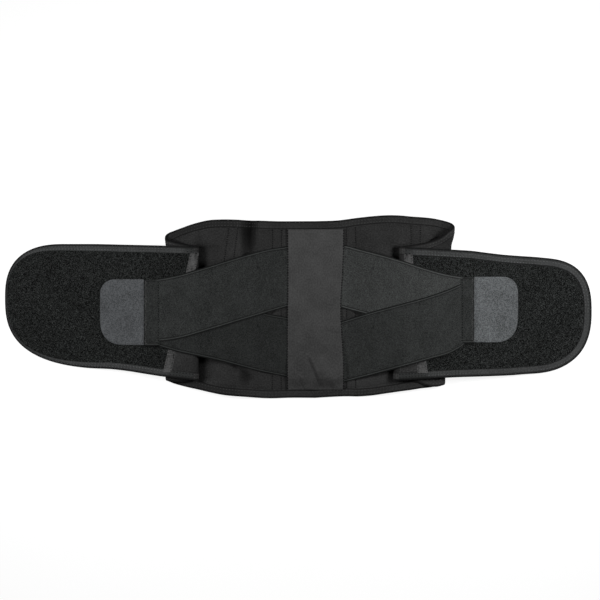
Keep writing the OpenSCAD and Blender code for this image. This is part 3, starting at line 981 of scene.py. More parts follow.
@dataclass(frozen=True)
class SideRun:
    """One side of the belt as a strip that runs from the spine to the wing's tip.

    Its length u goes out over the back panel, round the first bend, back over
    itself, round the second bend and out along the wing. Edges are given where the
    panel lies flat, at the first bend's crest and on the way back.
    """

    side: Side
    fold_x: float  # outer end of the first bend
    fold_depth: float  # from there in to the second bend's inner end
    tilt: float  # slope of the wing's middle line in degrees
    floor: float  # height of the wing's tip above the table
    lean: float  # how far the fold leans out, for each millimetre of height
    tab_y: float
    inner_stay: float
    outer_stay: float
    stay_lean: float  # lean of the outer stay in degrees
    perk: float  # how far the fold's top corner stands up
    trench: float  # length over which the back falls to the root
    gap: float  # from the foot of that fall to the root
    bow: float  # how far the back bows up
    bow_top: float  # what its top part adds to that
    unfold: float  # share of the unfolding that goes by X, and not by height
    tape_at: float  # middle of the joint tape from the root's inner end
    top_flat: Line
    top_crest: float
    top_back: Line
    bottom_flat: Line
    bottom_crest: float
    bottom_back: Line
    tip: tuple[float, float]
    wing_top: Line
    wing_bottom: Line
    round_top: tuple[float, float]  # length and power of the rounded end
    round_bottom: tuple[float, float]
    hem_widths: Line
    blunt: float  # how far the top edge drops across the crest
    valley: Valley | None = None
    slant: Crease | None = None
    hem_w: float = 16.8
    bend: float = 4.75
    thick: float = 3.8
    sag: float = 5.5
    seam_out: float = 27.5  # from the first bend out to the tab's seam
    level_out: float = 2.0  # how far the wing lies level past the first bend
    droop_l: float = 120.0
    crest_w: float = 3.4  # half the length of that drop
    tape_slant: float = 8.4  # of the joint tape, in degrees
    top_part: tuple[float, float] = (35.0, 110.0)  # heights over which it sets in
    root_top: tuple[float, float] = (88.0, 80.0)
    root_bottom: tuple[float, float] = (-97.0, -89.0)
    rise: tuple[float, float] = (54.0, 108.0)  # lengths over which the back bows up
    fall: tuple[float, float] = (34.0, 4.0)  # from the panel's end, above and below the root
    pinch: tuple[float, float] = (30.0, 70.0)  # heights over which the valley sets in
    lean_y: float = 100.0  # height at which the lean moves nothing
    lean_in: float = 70.0  # length over which it sets in before the fold
    lean_out: float = 60.0  # length over which it ends on the wing
    corner_y: tuple[float, float] = (82.0, 98.0)  # heights over which the corner stands up
    corner_in: tuple[float, float] = (-14.0, 6.0)  # lengths, from the first bend's start
    corner_out: tuple[float, float] = (38.0, 4.0)  # and back again, from that bend's end
    corner_x: float = 0.25  # how far it moves out, as a part of its rise

    @property
    def name(self) -> str:
        """The side's name."""
        return self.side.value

    @property
    def half(self) -> float:
        """Half the laminate's thickness."""
        return self.thick / 2

    @property
    def inner_x(self) -> float:
        """The second bend's inner end."""
        return self.fold_x - self.fold_depth

    @property
    def panel_x(self) -> float:
        """Where the back panel ends and the first bend starts."""
        return self.fold_x - self.bend - self.half

    @property
    def root_x(self) -> float:
        """Where the second bend ends and the wing starts."""
        return self.inner_x + self.bend + self.half

    @property
    def seam_x(self) -> float:
        """The tab's seam, where the wing swings."""
        return self.fold_x + self.seam_out

    @property
    def hem_x(self) -> float:
        """Inner edge of the hem."""
        return self.seam_x - self.hem_w

    @property
    def turns(self) -> tuple[float, float, float, float]:
        """Lengths at which the two bends start and end.

        Returns:
            Start and end of the first bend, then of the second.
        """
        half_turn = math.pi * self.bend
        back = self.panel_x - self.root_x
        a = self.panel_x
        return a, a + half_turn, a + half_turn + back, a + 2 * half_turn + back

    def wing_u(self, x: Array) -> Array:
        """Length at a place X on the wing."""
        return self.turns[3] + x - self.root_x

    def drop(self, x: Array) -> Array:
        """Height of the wing's underside: level on the fold, then down to the floor."""
        start = self.fold_x + self.level_out
        return self.floor + (4 * self.bend - self.floor) * (1 - smooth((x - start) / self.droop_l))

    def wing_edge(self, x: Array, level: Level) -> Array:
        """One edge of the wing: a slow line that a superellipse draws in to the tip.

        The line's distance from the tip's height is multiplied by (1 - k^p)^(1/p),
        where k goes from 0 to 1 over the rounded end.

        Args:
            x: Places along the wing.
            level: Which edge.

        Returns:
            Y of the edge at each place.
        """
        line, (length, power) = {
            Level.UPPER: (self.wing_top, self.round_top),
            Level.LOWER: (self.wing_bottom, self.round_bottom),
        }[level]
        k = np.clip((x - self.tip[0] + length) / length, 0.0, 1.0)
        return self.tip[1] + (Curve(line)(x) - self.tip[1]) * (1 - k**power) ** (1 / power)

    def _edge_line(self, level: Level) -> Curve:
        """One edge as far as the wing's root.

        Args:
            level: Which edge.

        Returns:
            Y of the edge as a line over the length u.
        """
        a, b, _, d = self.turns
        crest = (a + b) / 2
        if level is Level.UPPER:
            flat, back = self.top_flat, self.top_back
            turn = [(crest + s * self.crest_w, self.top_crest - s * self.blunt) for s in (-1, 0, 1)]
        else:
            flat, back = self.bottom_flat, self.bottom_back
            turn = [(crest, self.bottom_crest)]
        returned = ((b + self.panel_x - x, y) for x, y in back)
        root = float(self.wing_edge(np.array(self.root_x), level))
        return Curve((*flat, *turn, *returned, (d, root)))

    def edge(self, u: Array, level: Level) -> Array:
        """Height of the top or bottom edge.

        Args:
            u: Lengths along the strip.
            level: Which edge.

        Returns:
            Y of the edge at each length.
        """
        x = np.clip(u - self.turns[3] + self.root_x, self.root_x, self.tip[0])
        return np.where(u < self.turns[3], self._edge_line(level)(u), self.wing_edge(x, level))

    def path(self, u: Array) -> tuple[Array, Array]:
        """Middle line of the strip: two half circles between straight runs.

        Args:
            u: Lengths along the strip.

        Returns:
            X and Z at each length.
        """
        a, b, c, d = self.turns
        r = self.bend
        first, second = (u - a) / r, (u - c) / r
        wing_x = self.root_x + u - d
        runs = [u < a, u < b, u < c, u < d]
        out, back = self.panel_x + r * np.sin(first), self.panel_x - (u - b)
        x = np.select(runs, [u, out, back, self.root_x - r * np.sin(second)], wing_x)
        first_z, second_z = r * (1 - np.cos(first)), r * (3 - np.cos(second))
        z = np.select(runs, [0 * u, first_z, 0 * u + 2 * r, second_z], self.drop(wing_x))
        return x, z + self.half

    def lift(self, u: Array, y: Array) -> Array:
        """How far the back panel bows up off the table between the spine and the wing's root.

        It rises from the spine and drops into a trench beside the root, and to its end
        above and below the root. Where the side has them, a valley runs down from the
        top edge and a slanted crease in from below.

        Args:
            u: Lengths along the strip.
            y: Heights.

        Returns:
            The rise at each place.
        """
        top = ease(y, *self.top_part)
        beside = ease(y, *self.root_top) * ease(y, *self.root_bottom)
        foot = self.inner_x - self.gap
        trench = 1 - ease(u, foot - self.trench, foot)
        away = 1 - ease(u, *(self.panel_x - by for by in self.fall))
        rise = shape = ease(u, *self.rise)
        if self.valley:
            pinch = ease(y, *self.pinch)
            shape = pinch * self.valley(u, y, top) + (1 - pinch) * rise
        height = (self.bow + self.bow_top * top) * shape * (beside * trench + (1 - beside) * away)
        return height + (self.slant(u, y) * rise if self.slant else 0.0)

    def stand(self, u: Array, y: Array) -> Array:
        """How far the fold's top corner stands up, most at the first bend and its top edge.

        Args:
            u: Lengths along the strip.
            y: Heights.

        Returns:
            The rise at each place.
        """
        a, b, _, _ = self.turns
        near = ease(u - a, *self.corner_in) * ease(u - b, *self.corner_out)
        return self.perk * ease(y, *self.corner_y) * near

    def place(self, u: Array, y: Array) -> Array:
        """Point on the middle of the laminate.

        Args:
            u: Lengths along the strip.
            y: Heights.

        Returns:
            Points in millimetres.
        """
        u, y = np.broadcast_arrays(np.asarray(u, float), np.asarray(y, float))
        x, z = self.path(u)
        before, after = self.panel_x - u, u - self.turns[3]
        hold = ease(before, self.lean_in, 0) * ease(after, self.lean_out, 0)
        stand = self.stand(u, y)
        x = x + self.lean * (y - self.lean_y) * hold + self.corner_x * stand
        z = z + np.where(u < self.panel_x, self.lift(u, y), 0.0) + stand
        return stack(self.side.sign * x, y, z)

    def normal(self, u: Array, y: Array, step: float = 0.05) -> Array:
        """Direction out of the cloth's outer face, from differences of place.

        Args:
            u: Lengths along the strip.
            y: Heights.
            step: How far to both sides the places are taken.

        Returns:
            Directions of length 1.
        """
        along = self.place(u + step, y) - self.place(u - step, y)
        across = self.place(u, y + step) - self.place(u, y - step)
        return unit(np.cross(along, across)) * self.side.sign

    def cloth(self, u: Array, y: Array) -> tuple[Array, Array]:
        """Points on the middle of the laminate, and the directions out of its outer face."""
        return self.place(u, y), self.normal(u, y)

    def tape_x(self, y: Array) -> Array:
        """Middle of the satin joint tape, its top nearer the spine.

        Args:
            y: Heights.

        Returns:
            X at each height.
        """
        x = self.inner_x + self.tape_at
        middle = self.tape_at * math.tan(math.radians(self.tilt)) - self.sag
        return x - (y - middle) * math.tan(math.radians(self.tape_slant + self.tilt))

    def point(self, x: float, y: float, z: float) -> Triple:
        """A point of this side in metres, for the frame."""
        return (self.side.sign * x * MM, y * MM, z * MM)


@dataclass(frozen=True)
class Binding:
    """A tape folded round an edge, and the two rows that sew it down."""

    width: float = 10.0
    thick: float = 3.8
    rows: tuple[float, float] = (3.6, 7.6)
    thread_z: float = 2.15  # above the cloth's middle

    def profile(self) -> tuple[Array, Array]:
        """Closed U round the edge, cut off flat inside the cloth.

        Returns:
            Distances in from the edge as parts of the width, and heights above the middle.
        """
        t = self.thick / 2
        top = [(1.0, t + 0.02), (0.985, t + 0.3), (0.86, t + 0.3), (0.76, t + 0.16),
               (0.66, t + 0.32), (0.4, t + 0.4), (0.18, t + 0.3), (0.06, t - 0.1),
               (-0.01, t - 0.9), (-0.035, 0.0)]
        points = np.array(top + [(d, -h) for d, h in reversed(top[:-1])])
        return points[:, 0], points[:, 1]


BINDING = Binding()


@dataclass
class Stitches:
    """Rows of lockstitches on one piece of sewing."""

    name: str
    finish: Finish
    pitch: float = 2.8
    length: float = 1.7
    radius: float = 0.55
    piece: Piece = field(init=False)

    def __post_init__(self) -> None:
        """Starts the piece that holds the thread."""
        self.piece = Piece(self.name, self.finish)

    def bead(self) -> Array:
        """One stitch: a five-sided rod whose ends dip into the cloth.

        Returns:
            Rings of points.
        """
        t = np.array([-1.0, -0.72, 0.0, 0.72, 1.0])[:, None]
        size = self.radius * np.array([0.35, 0.85, 1.0, 0.85, 0.35])[:, None]
        angle = ramp(0, 2 * math.pi, 6)[:-1]
        dip = -0.55 * self.radius * t**4
        return stack(t * self.length / 2, size * np.cos(angle), dip + size * np.sin(angle))

    def row(self, line: Array, up: Array) -> None:
        """Sews along a line.

        Args:
            line: Points that the row follows.
            up: Directions out of the cloth at those points.
        """
        run = distances(line)
        count = max(2, int(run[-1] / self.pitch))
        at = (np.arange(count) + 0.5) * run[-1] / count

        def pick(values: Array, where: Array) -> Array:
            """Values between the line's points."""
            return np.stack([np.interp(where, run, values[:, k]) for k in range(3)], -1)

        along = unit(pick(line, at + 0.5) - pick(line, at - 0.5))
        out = pick(up, at)
        out = unit(out - along * (out * along).sum(-1, keepdims=True))
        self.piece.beads(pick(line, at), along, out, self.bead(), pair(at, 0 * at))


LEFT_RUN = SideRun(
    side=Side.LEFT, fold_x=195.0, fold_depth=43.0, tilt=4.5, floor=0.0, lean=0.0, tab_y=-3.3,
    inner_stay=50.5, outer_stay=121.0, stay_lean=8.0, perk=4.0, trench=26.0, gap=9.1,
    bow=6.3, bow_top=4.4, unfold=0.8, tape_at=22.4, hem_w=20.2, blunt=3.2,
    valley=Valley(), slant=Crease((107, -73), (82, -93), 4.6, -5.2),
    top_flat=((0, 114.9), (33, 114.8), (60, 114.8), (92, 116.0), (123, 116.7), (138.5, 115.8),
              (154, 112.4), (170, 107.5), (184, 102.3)),
    top_crest=94.8, top_back=((185, 88.8), (170, 85.0), (158.65, 82.5)),
    bottom_flat=((0, -115.0), (33, -114.9), (60, -115.6), (92, -113.5), (123, -110.5),
                 (138.5, -107.3), (154, -103.6), (170, -100.2), (184, -96.5)),
    bottom_crest=-92.5, bottom_back=((185, -93.6), (170, -94.0), (158.65, -92.6)),
    hem_widths=((0, 8.8), (0.27, 8.4), (0.31, 7.9), (0.34, 6.8), (0.375, 5.2), (0.41, 3.8),
                (0.5, 3.1), (0.62, 3.6), (0.66, 4.5), (0.69, 5.1), (0.73, 6.4), (0.77, 7.4),
                (0.92, 9.4), (1, 10.0)),
    tip=(405.0, 16.0), round_top=(78.0, 2.55), round_bottom=(157.0, 2.75),
    wing_top=((158.65, 81.4), (202, 82.7), (243.8, 83.8), (285, 85.0), (328, 85.2)),
    wing_bottom=((158.65, -91.4), (202, -86.0), (223, -82.8), (243, -79.8), (264, -77.6),
                 (300, -77.5)),
)
RIGHT_RUN = SideRun(
    side=Side.RIGHT, fold_x=178.0, fold_depth=68.0, tilt=0.0, floor=1.2, lean=0.048, tab_y=0.0,
    inner_stay=46.5, outer_stay=132.0, stay_lean=1.0, perk=9.0, trench=20.0, gap=1.5,
    bow=6.5, bow_top=1.5, unfold=0.95, tape_at=22.6, blunt=2.6,
    top_flat=((0, 114.9), (30, 116.0), (56, 119.4), (75, 121.3), (95, 122.4), (111, 121.9),
              (127, 120.4), (142, 119.4), (158, 117.4), (168, 114.6)),
    top_crest=108.5,
    top_back=((170, 101.0), (160, 93.6), (148, 88.2), (130, 84.0), (114.65, 82.0)),
    bottom_flat=((0, -115.0), (18, -113.9), (41, -113.0), (56, -113.2), (72, -112.0),
                 (95.5, -108.5), (111, -106.3), (127, -104.5), (142, -102.6), (158, -101.3),
                 (168, -100.0)),
    bottom_crest=-98.0,
    bottom_back=((166, -100.2), (155, -99.0), (143, -94.8), (130, -92.4), (114.65, -91.9)),
    hem_widths=((0, 10.3), (0.3, 11.0), (0.5, 10.5), (0.7, 10.0), (1, 10.0)),
    tip=(360.0, -2.0), round_top=(68.0, 2.6), round_bottom=(80.0, 2.45),
    wing_top=((114.65, 80.8), (182, 77.0), (203, 75.7), (223.6, 73.2), (244.6, 70.9),
              (266, 69.4), (287, 68.1), (300, 67.0), (320, 66.4)),
    wing_bottom=((114.65, -91.8), (182, -87.5), (223.6, -86.4), (255, -85.3), (276.6, -83.8),
                 (298, -82.8), (330, -81.5)),
)
RUNS = (LEFT_RUN, RIGHT_RUN)


def back_place(x: Array, y: Array) -> tuple[Array, Array]:
    """Middle of the back panel, which takes each half from its own side.

    Args:
        x: Places along the belt, negative on the left.
        y: Heights.

    Returns:
        Points and the directions out of the outer face.
    """
    x, y = np.broadcast_arrays(np.asarray(x, float), np.asarray(y, float))
    halves = zip(LEFT_RUN.cloth(np.abs(x), y), RIGHT_RUN.cloth(np.abs(x), y))
    return tuple(np.where((x < 0)[..., None], left, right) for left, right in halves)


def back_edge(x: Array, level: Level) -> Array:
    """Edge of the back panel over X, negative on the left."""
    u = np.abs(x)
    return np.where(x < 0, LEFT_RUN.edge(u, level), RIGHT_RUN.edge(u, level))


def back_span(count: int, short: float = 0.0) -> Array:
    """Evenly spaced X along the whole back panel, short of its ends."""
    return ramp(short - LEFT_RUN.panel_x, RIGHT_RUN.panel_x - short, count)


@dataclass(frozen=True)
class Stay:
    """Middle line of one stay on the back panel."""

    name: str
    x: float
    y: float
    tilt: float

    def at(self, y: Array) -> Array:
        """X of the line at a height."""
        return self.x + (y - self.y) * self.tilt


@dataclass
class BackPanel:
    """Stayed back panel: padded outer face, lining, stays and edge binding."""

    half: float = 1.9
    lining_t: float = 1.0
    columns: int = 300
    rows: int = 124
    inset: float = 0.7
    stay_l: float = 190.0
    stay_w: float = 8.0
    stay_t: float = 1.0
    stay_z: float = 0.8  # upper face above the panel's middle
    outer_y: float = 4.0  # middle of the outer stays
    channel: float = 5.9  # from a stay's middle to the stitches beside it
    channel_end: float = 10.4  # from the edge to the channel's end
    thread_z: float = 2.2

    def stay_lines(self) -> list[Stay]:
        """Middle lines of the stays.

        Returns:
            The outer and the inner stay of each side.
        """
        lines = []
        for run in RUNS:
            s, lean = run.side.sign, math.tan(math.radians(run.stay_lean))
            outer, inner = s * run.outer_stay, s * run.inner_stay
            lines.append(Stay(f"stay_{run.name}_outer", outer, self.outer_y, -s * lean))
            lines.append(Stay(f"stay_{run.name}_inner", inner, 0.0, 0.0))
        return lines

    def relief(self, x: Array, y: Array) -> Array:
        """Height added on the outer face: a ridge on each stay and grooves where it is sewn.

        Args:
            x: Places along the belt.
            y: Heights.

        Returns:
            The added height, with a groove along the binding as well.
        """
        rise = 0.25 * np.sin(x / 7.3 + 1.3 * np.sin(y / 17)) * np.sin(y / 9.1 + x / 23)
        for stay in self.stay_lines():
            off = x - stay.at(y)
            sewn = bell((off - self.channel) / 2.0) + bell((off + self.channel) / 2.0)
            rise = rise + 0.5 * (bell(off / 4.2) - sewn)
        inside = np.minimum(back_edge(x, Level.UPPER) - y, y - back_edge(x, Level.LOWER))
        return rise * ease(inside, 8, 14) - 0.9 * bell((inside - 11.2) / 1.4)

    def grid(self) -> tuple[Array, Array]:
        """The panel's grid, its rows closer together beside the edges.

        Returns:
            X and Y of its points.
        """
        x = back_span(self.columns)
        t = ramp(0, 1, self.rows)
        t = t - 0.6 * np.sin(2 * math.pi * t) / (2 * math.pi)
        low = back_edge(x, Level.LOWER) + self.inset
        high = back_edge(x, Level.UPPER) - self.inset
        return column(x, self.rows), between(low, high, t)

    def build(self) -> None:
        """Makes the panel's pieces."""
        x, y = self.grid()
        mid, out = back_place(x, y)
        lay = pair(x, y)
        split = mid + out * (self.lining_t - self.half)
        pad = Piece("back_pad", Dress.CLOTH_WITH_PAINTED_SHADE)
        pad.slab(mid + out * (self.half + self.relief(x, y))[..., None], split, lay)
        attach(pad.padded(0.4, "back_shell", "back_foam"), "back")
        lining = Piece("back_inner", Dress.LINING)
        lining.slab(*(grid[EVERY_OTHER] for grid in (split, mid - out * self.half, lay)))
        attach(lining.sheet("back_pad", "back_lining"), "back")
        self.stays()
        for level in Level:
            self.binding(level)
        self.sewing()

    def stays(self, steps: int = 61, across: int = 9) -> None:
        """Makes the stays: flat strips with round ends that follow the panel.

        Args:
            steps: Points along a stay.
            across: Points across it.
        """
        end, radius = self.stay_l / 2, self.stay_w / 2
        along = end * np.sin(ramp(-math.pi / 2, math.pi / 2, steps))
        round_end = np.clip((end - np.abs(along)) / radius, 0, 1)
        half = radius * np.sqrt(np.maximum(1 - (1 - round_end) ** 2, 0.004))
        for stay in self.stay_lines():
            y = stay.y + along
            xs = stay.at(y)[:, None] + half[:, None] * ramp(-1, 1, across)
            ys = column(y, across)
            mid, out = back_place(xs, ys)
            strip = Piece(stay.name + "_strip", Dress.STEEL)
            under = mid + out * (self.stay_z - self.stay_t)
            strip.slab(mid + out * self.stay_z, under, pair(xs - stay.x, ys))
            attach(strip.solid(stay.name), "back")

    def binding(self, level: Level) -> None:
        """Makes the tape round one long edge of the panel.

        Args:
            level: Which edge.
        """
        x = back_span(self.columns)
        inward, height = BINDING.profile()
        depth = BINDING.width * inward
        ys = back_edge(x, level)[:, None] - level.sign * depth
        mid, out = back_place(column(x, len(depth)), ys)
        name = "top" if level is Level.UPPER else "bottom"
        tape = Piece(f"back_tape_{name}", Dress.BACK_TAPE[level])
        tape.tube(mid + out * height[:, None], pair(x[:, None], depth))
        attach(tape.solid(f"back_binding_{name}"), "back")

    def sewing(self) -> None:
        """Sews the stay channels, one of them in paler thread below as painted light, and both
        bindings.
        """
        size = {"pitch": 2.8, "length": 1.5}
        dark = Stitches("back_channel_stitches", Dress.DARK_THREAD, **size, radius=0.7)
        pale = Stitches("back_channel_painted_light_stitches", Dress.HEM_THREAD, **size, radius=0.6)
        for stay in self.stay_lines():
            ends = stay.at(np.array([-105.0, 105.0]))
            low, high = back_edge(ends, Level.LOWER)[0], back_edge(ends, Level.UPPER)[1]
            y = ramp(low + self.channel_end, high - self.channel_end, 90)
            # the left outer channel's lower rows take paler thread: painted light
            worn_and_painted_light = (y < 0) & (stay.name == "stay_left_outer")
            for by in (-self.channel, self.channel):
                x = stay.at(y) + by
                mid, out = back_place(x, y)
                line = mid + out * (self.thread_z + self.relief(x, y))[:, None]
                for thread, on in ((dark, ~worn_and_painted_light), (pale, worn_and_painted_light)):
                    if on.any():
                        thread.row(line[on], out[on])
        hem = Stitches("back_hem_stitches", Dress.HEM_THREAD, pitch=4.0, length=1.9, radius=0.45)
        x = back_span(200, 1.0)
        for level in Level:
            for inward in BINDING.rows:
                mid, out = back_place(x, back_edge(x, level) - level.sign * inward)
                hem.row(mid + out * BINDING.thread_z, out)
        for thread in (dark, pale, hem):
            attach(thread.piece.build(), "back")


@dataclass
class SpineCover:
    """Satin sheet over the sewn ends of the bands."""

    half_y: float = 104.4
    thick: float = 0.8
    rest_z: float = 5.35
    pad_z: float = 4.15
    swell: float = 3.6
    soft: float = 0.35  # how far above the pad it starts to be held up
    rows: int = 180
    columns: int = 72
    creases: tuple[Crease, ...] = (
        Tuck((-12, -59), (6.6, -101), 6.4, 9.0),
        Tuck((-22, -86), (-14, -107), 3.6, 4.4),
        Tuck((17, -92), (24, -108), 2.8, 3.0),
        Crease((-16, 104), (2, 84), 4.0, 1.2),
        Crease((2, 104), (12, 90), 3.0, -0.9),
        Crease((36, 20), (14, 24), 2.6, -0.8),
        Crease((36, -34), (10, -28), 3.0, -0.8),
        Crease((-36, -40), (-12, -46), 3.4, 0.8),
        Crease((-26, 60), (-30, 10), 5.0, 0.5),
    )

    def left_x(self, y: Array) -> Array:
        """Left edge, nearly straight."""
        return -36.6 + 0.4 * np.sin(y / 31)

    def right_x(self, y: Array) -> Array:
        """Right edge, drawn in at mid height by the bands."""
        return 37.0 - 3.6 * bell(y / 48)

    def height(self, x: Array, y: Array) -> Array:
        """Underside: over the bands' ends at both edges, sagging between, never into the pad.

        A height z is held up as p + s log(1 + exp((z - p) / s)), with the pad's face at p.

        Args:
            x: Places along the belt.
            y: Heights up the back.

        Returns:
            Z of the underside.
        """
        far = np.abs(y)
        sag = 0.9 * bell(x / 15) * (1 - ease(far, 80, 104))
        seams = bell((x - self.left_x(y)) / 4) + bell((x - self.right_x(y)) / 4)
        pucker = 0.25 * np.sin(y / 2.4) * seams
        gather = 0.4 * np.sin(x / 1.9 + 1.5 * np.sin(x / 9)) * ease(y, -90, -98)
        swell = self.swell * (0.5 + 0.5 * bell(x / 24)) * ease(y, -52, -82) * ease(y, -103, -87)
        z = self.rest_z - sag + pucker + gather + swell - 1.2 * ease(far, 92, 102) * bell(x / 30)
        for crease in self.creases:
            z = z + crease(x, y)
        s = self.soft
        return self.pad_z + s * np.log1p(np.exp((z - self.pad_z) / s))

    def build(self) -> None:
        """Makes the cover and its stitches."""
        y = ramp(-self.half_y, self.half_y, self.rows)
        t = ramp(0, 1, self.columns)
        x, ys = between(self.left_x(y), self.right_x(y), t), column(y, self.columns)
        z = self.height(x, ys)
        edge = 0.45 * (bell(t / 0.012) + bell((1 - t) / 0.012))
        cover = Piece("spine_satin_cover", Dress.COVER)
        cover.slab(stack(x, ys, z + self.thick - edge), stack(x, ys, z), pair(x, ys))
        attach(cover.sheet("back_pad", "spine_cover"), "back")
        thread = Stitches("spine_cover_stitches", Dress.DARK_THREAD, 3.4, 2.6, 0.6)
        up = np.repeat([[0.0, 0.0, 1.0]], len(y), 0)
        for x in (self.left_x(y) + 0.45, self.right_x(y) - 0.45):
            thread.row(stack(x, y, self.height(x, y) + self.thick), up)
        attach(thread.piece.build(), "back")


@dataclass
class ElasticBand:
    """One elastic band, from under the spine cover to the hem of its side."""

    run: SideRun
    level: Level
    on_top: bool
    web: ElasticWeb
    top: Curve
    bottom: Curve
    thick: float = 1.5
    start_x: float = 26.0
    into_hem: float = 5.0
    leave_x: float = 41.0  # where it leaves the back
    back_z: float = 3.85
    climb: float = 20.6  # rise from there to the wing's root
    wing_z: float = 4.9  # above the wing's underside
    soft: float = 0.8  # how far both lines round off where they meet
    apart: float = 1.6  # gap between the two bands
    slack: float = 3.5  # how far its long edges hang
    slack_y: float = 75.0  # distance from the middle at which they hang so far
    free_x: float = 38.0  # where they start to
    follow_x: float = 44.0  # where it starts to follow the side
    held_x: float = 12.0  # from the hem, where it follows it in full
    columns: int = 124
    rows: int = 52

    @property
    def name(self) -> str:
        """The band's node."""
        return f"{self.run.name}_{self.level.value}_band"

    def height(self, x: Array) -> Array:
        """Underside: level on the back, straight up to the fold, then along the wing.

        The two lines meet in a soft minimum, -s log(exp(-a / s) + exp(-b / s)).

        Args:
            x: Places along the side.

        Returns:
            Z at each place.
        """
        run, out = self.run, x - self.leave_x
        crest = run.inner_x + 5 - self.leave_x
        slope = self.back_z + self.climb * out / crest * (out > 0)
        s, wing = self.soft, run.drop(x) + self.wing_z
        line = -s * np.log(np.exp(-slope / s) + np.exp(-wing / s))
        way = np.clip(out / (run.hem_x - self.leave_x), 0, 1)
        apart = self.apart * (smooth(out / 18) + np.sin(math.pi * way) ** 2)
        return line + (apart if self.on_top else 0.0)

    def build(self) -> None:
        """Makes the band."""
        run, s = self.run, self.run.side.sign
        x = ramp(self.start_x, run.hem_x + self.into_hem, self.columns)
        t = ramp(-1, 1, self.rows)
        low, high = self.bottom(x), self.top(x)
        y = between((low + high) / 2, high, t)
        xs = column(x, self.rows)
        ripple = 0.12 * np.sin(xs / 5.1 + y / 13) * np.cos(y / 6.3)
        curl = -0.35 * np.abs(t) ** 12
        middle = run.tab_y + 0.03 * (run.seam_x - x)
        way = np.clip((x - self.free_x) / (run.inner_x + 4 - self.free_x), 0, 1)
        hang = ((y - middle[:, None]) / self.slack_y) ** 2 * np.sin(math.pi * way)[:, None]
        z = self.height(x)[:, None] + ripple + curl - self.slack * hang
        band = Piece(self.name + "_web", self.web)
        lay = pair(xs, self.web.half * t)
        band.slab(stack(s * xs, y, z + self.thick), stack(s * xs, y, z), lay)
        thing = band.sheet("back_pad", self.name)
        ends = (run.point(x, 0, 4) for x in (self.follow_x, run.hem_x - self.held_x))
        f"{run.name}_side"
        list(ends)
        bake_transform(thing)


BANDS = (
    ElasticBand(
        LEFT_RUN, Level.UPPER, True, Dress.WEB_PAINTED_DARKER,
        Curve(((26, 85.5), (37, 82.8), (59, 79.3), (98, 68.9), (150, 52.7), (176, 45.4),
               (202, 40.4), (222, 39.0))),
        Curve(((26, 6.5), (37, 3.3), (98, -15.0), (150, -30.6), (176, -37.8), (202, -41.4),
               (222, -41.5))),
    ),
    ElasticBand(
        LEFT_RUN, Level.LOWER, False, Dress.WEB_PAINTED_DARKEST,
        Curve(((26, -12.0), (37, -9.8), (59, -5.9), (98, 5.0), (150, 21.0), (176, 28.5),
               (202, 35.0), (222, 36.5))),
        Curve(((26, -91.0), (37, -88.4), (72, -81.0), (98, -74.1), (128, -66.0), (150, -61.0),
               (176, -55.5), (203.5, -48.0), (222, -44.0))),
    ),
    ElasticBand(
        RIGHT_RUN, Level.UPPER, False, Dress.WEB_PAINTED_LIGHTEST,
        Curve(((26, 86.5), (39.7, 83.9), (58, 78.9), (84, 72.0), (110, 64.2), (136, 55.6),
               (162, 48.1), (203, 40.6))),
        Curve(((26, 5.0), (33, 2.6), (61.8, -5.4), (110, -19.0), (160, -33.0), (203, -38.0))),
    ),
    ElasticBand(
        RIGHT_RUN, Level.LOWER, True, Dress.WEB_PAINTED_MIDDLE,
        Curve(((26, -18.0), (33, -15.6), (71, -3.5), (110, 7.2), (149, 18.2), (175, 27.6),
               (190, 34.0), (203, 38.0))),
        Curve(((26, -98.0), (35.8, -95.6), (71, -86.3), (110, -75.0), (149, -64.2), (175, -56.4),
               (188, -49.0), (194, -44.6), (203, -42.0))),
    ),
)


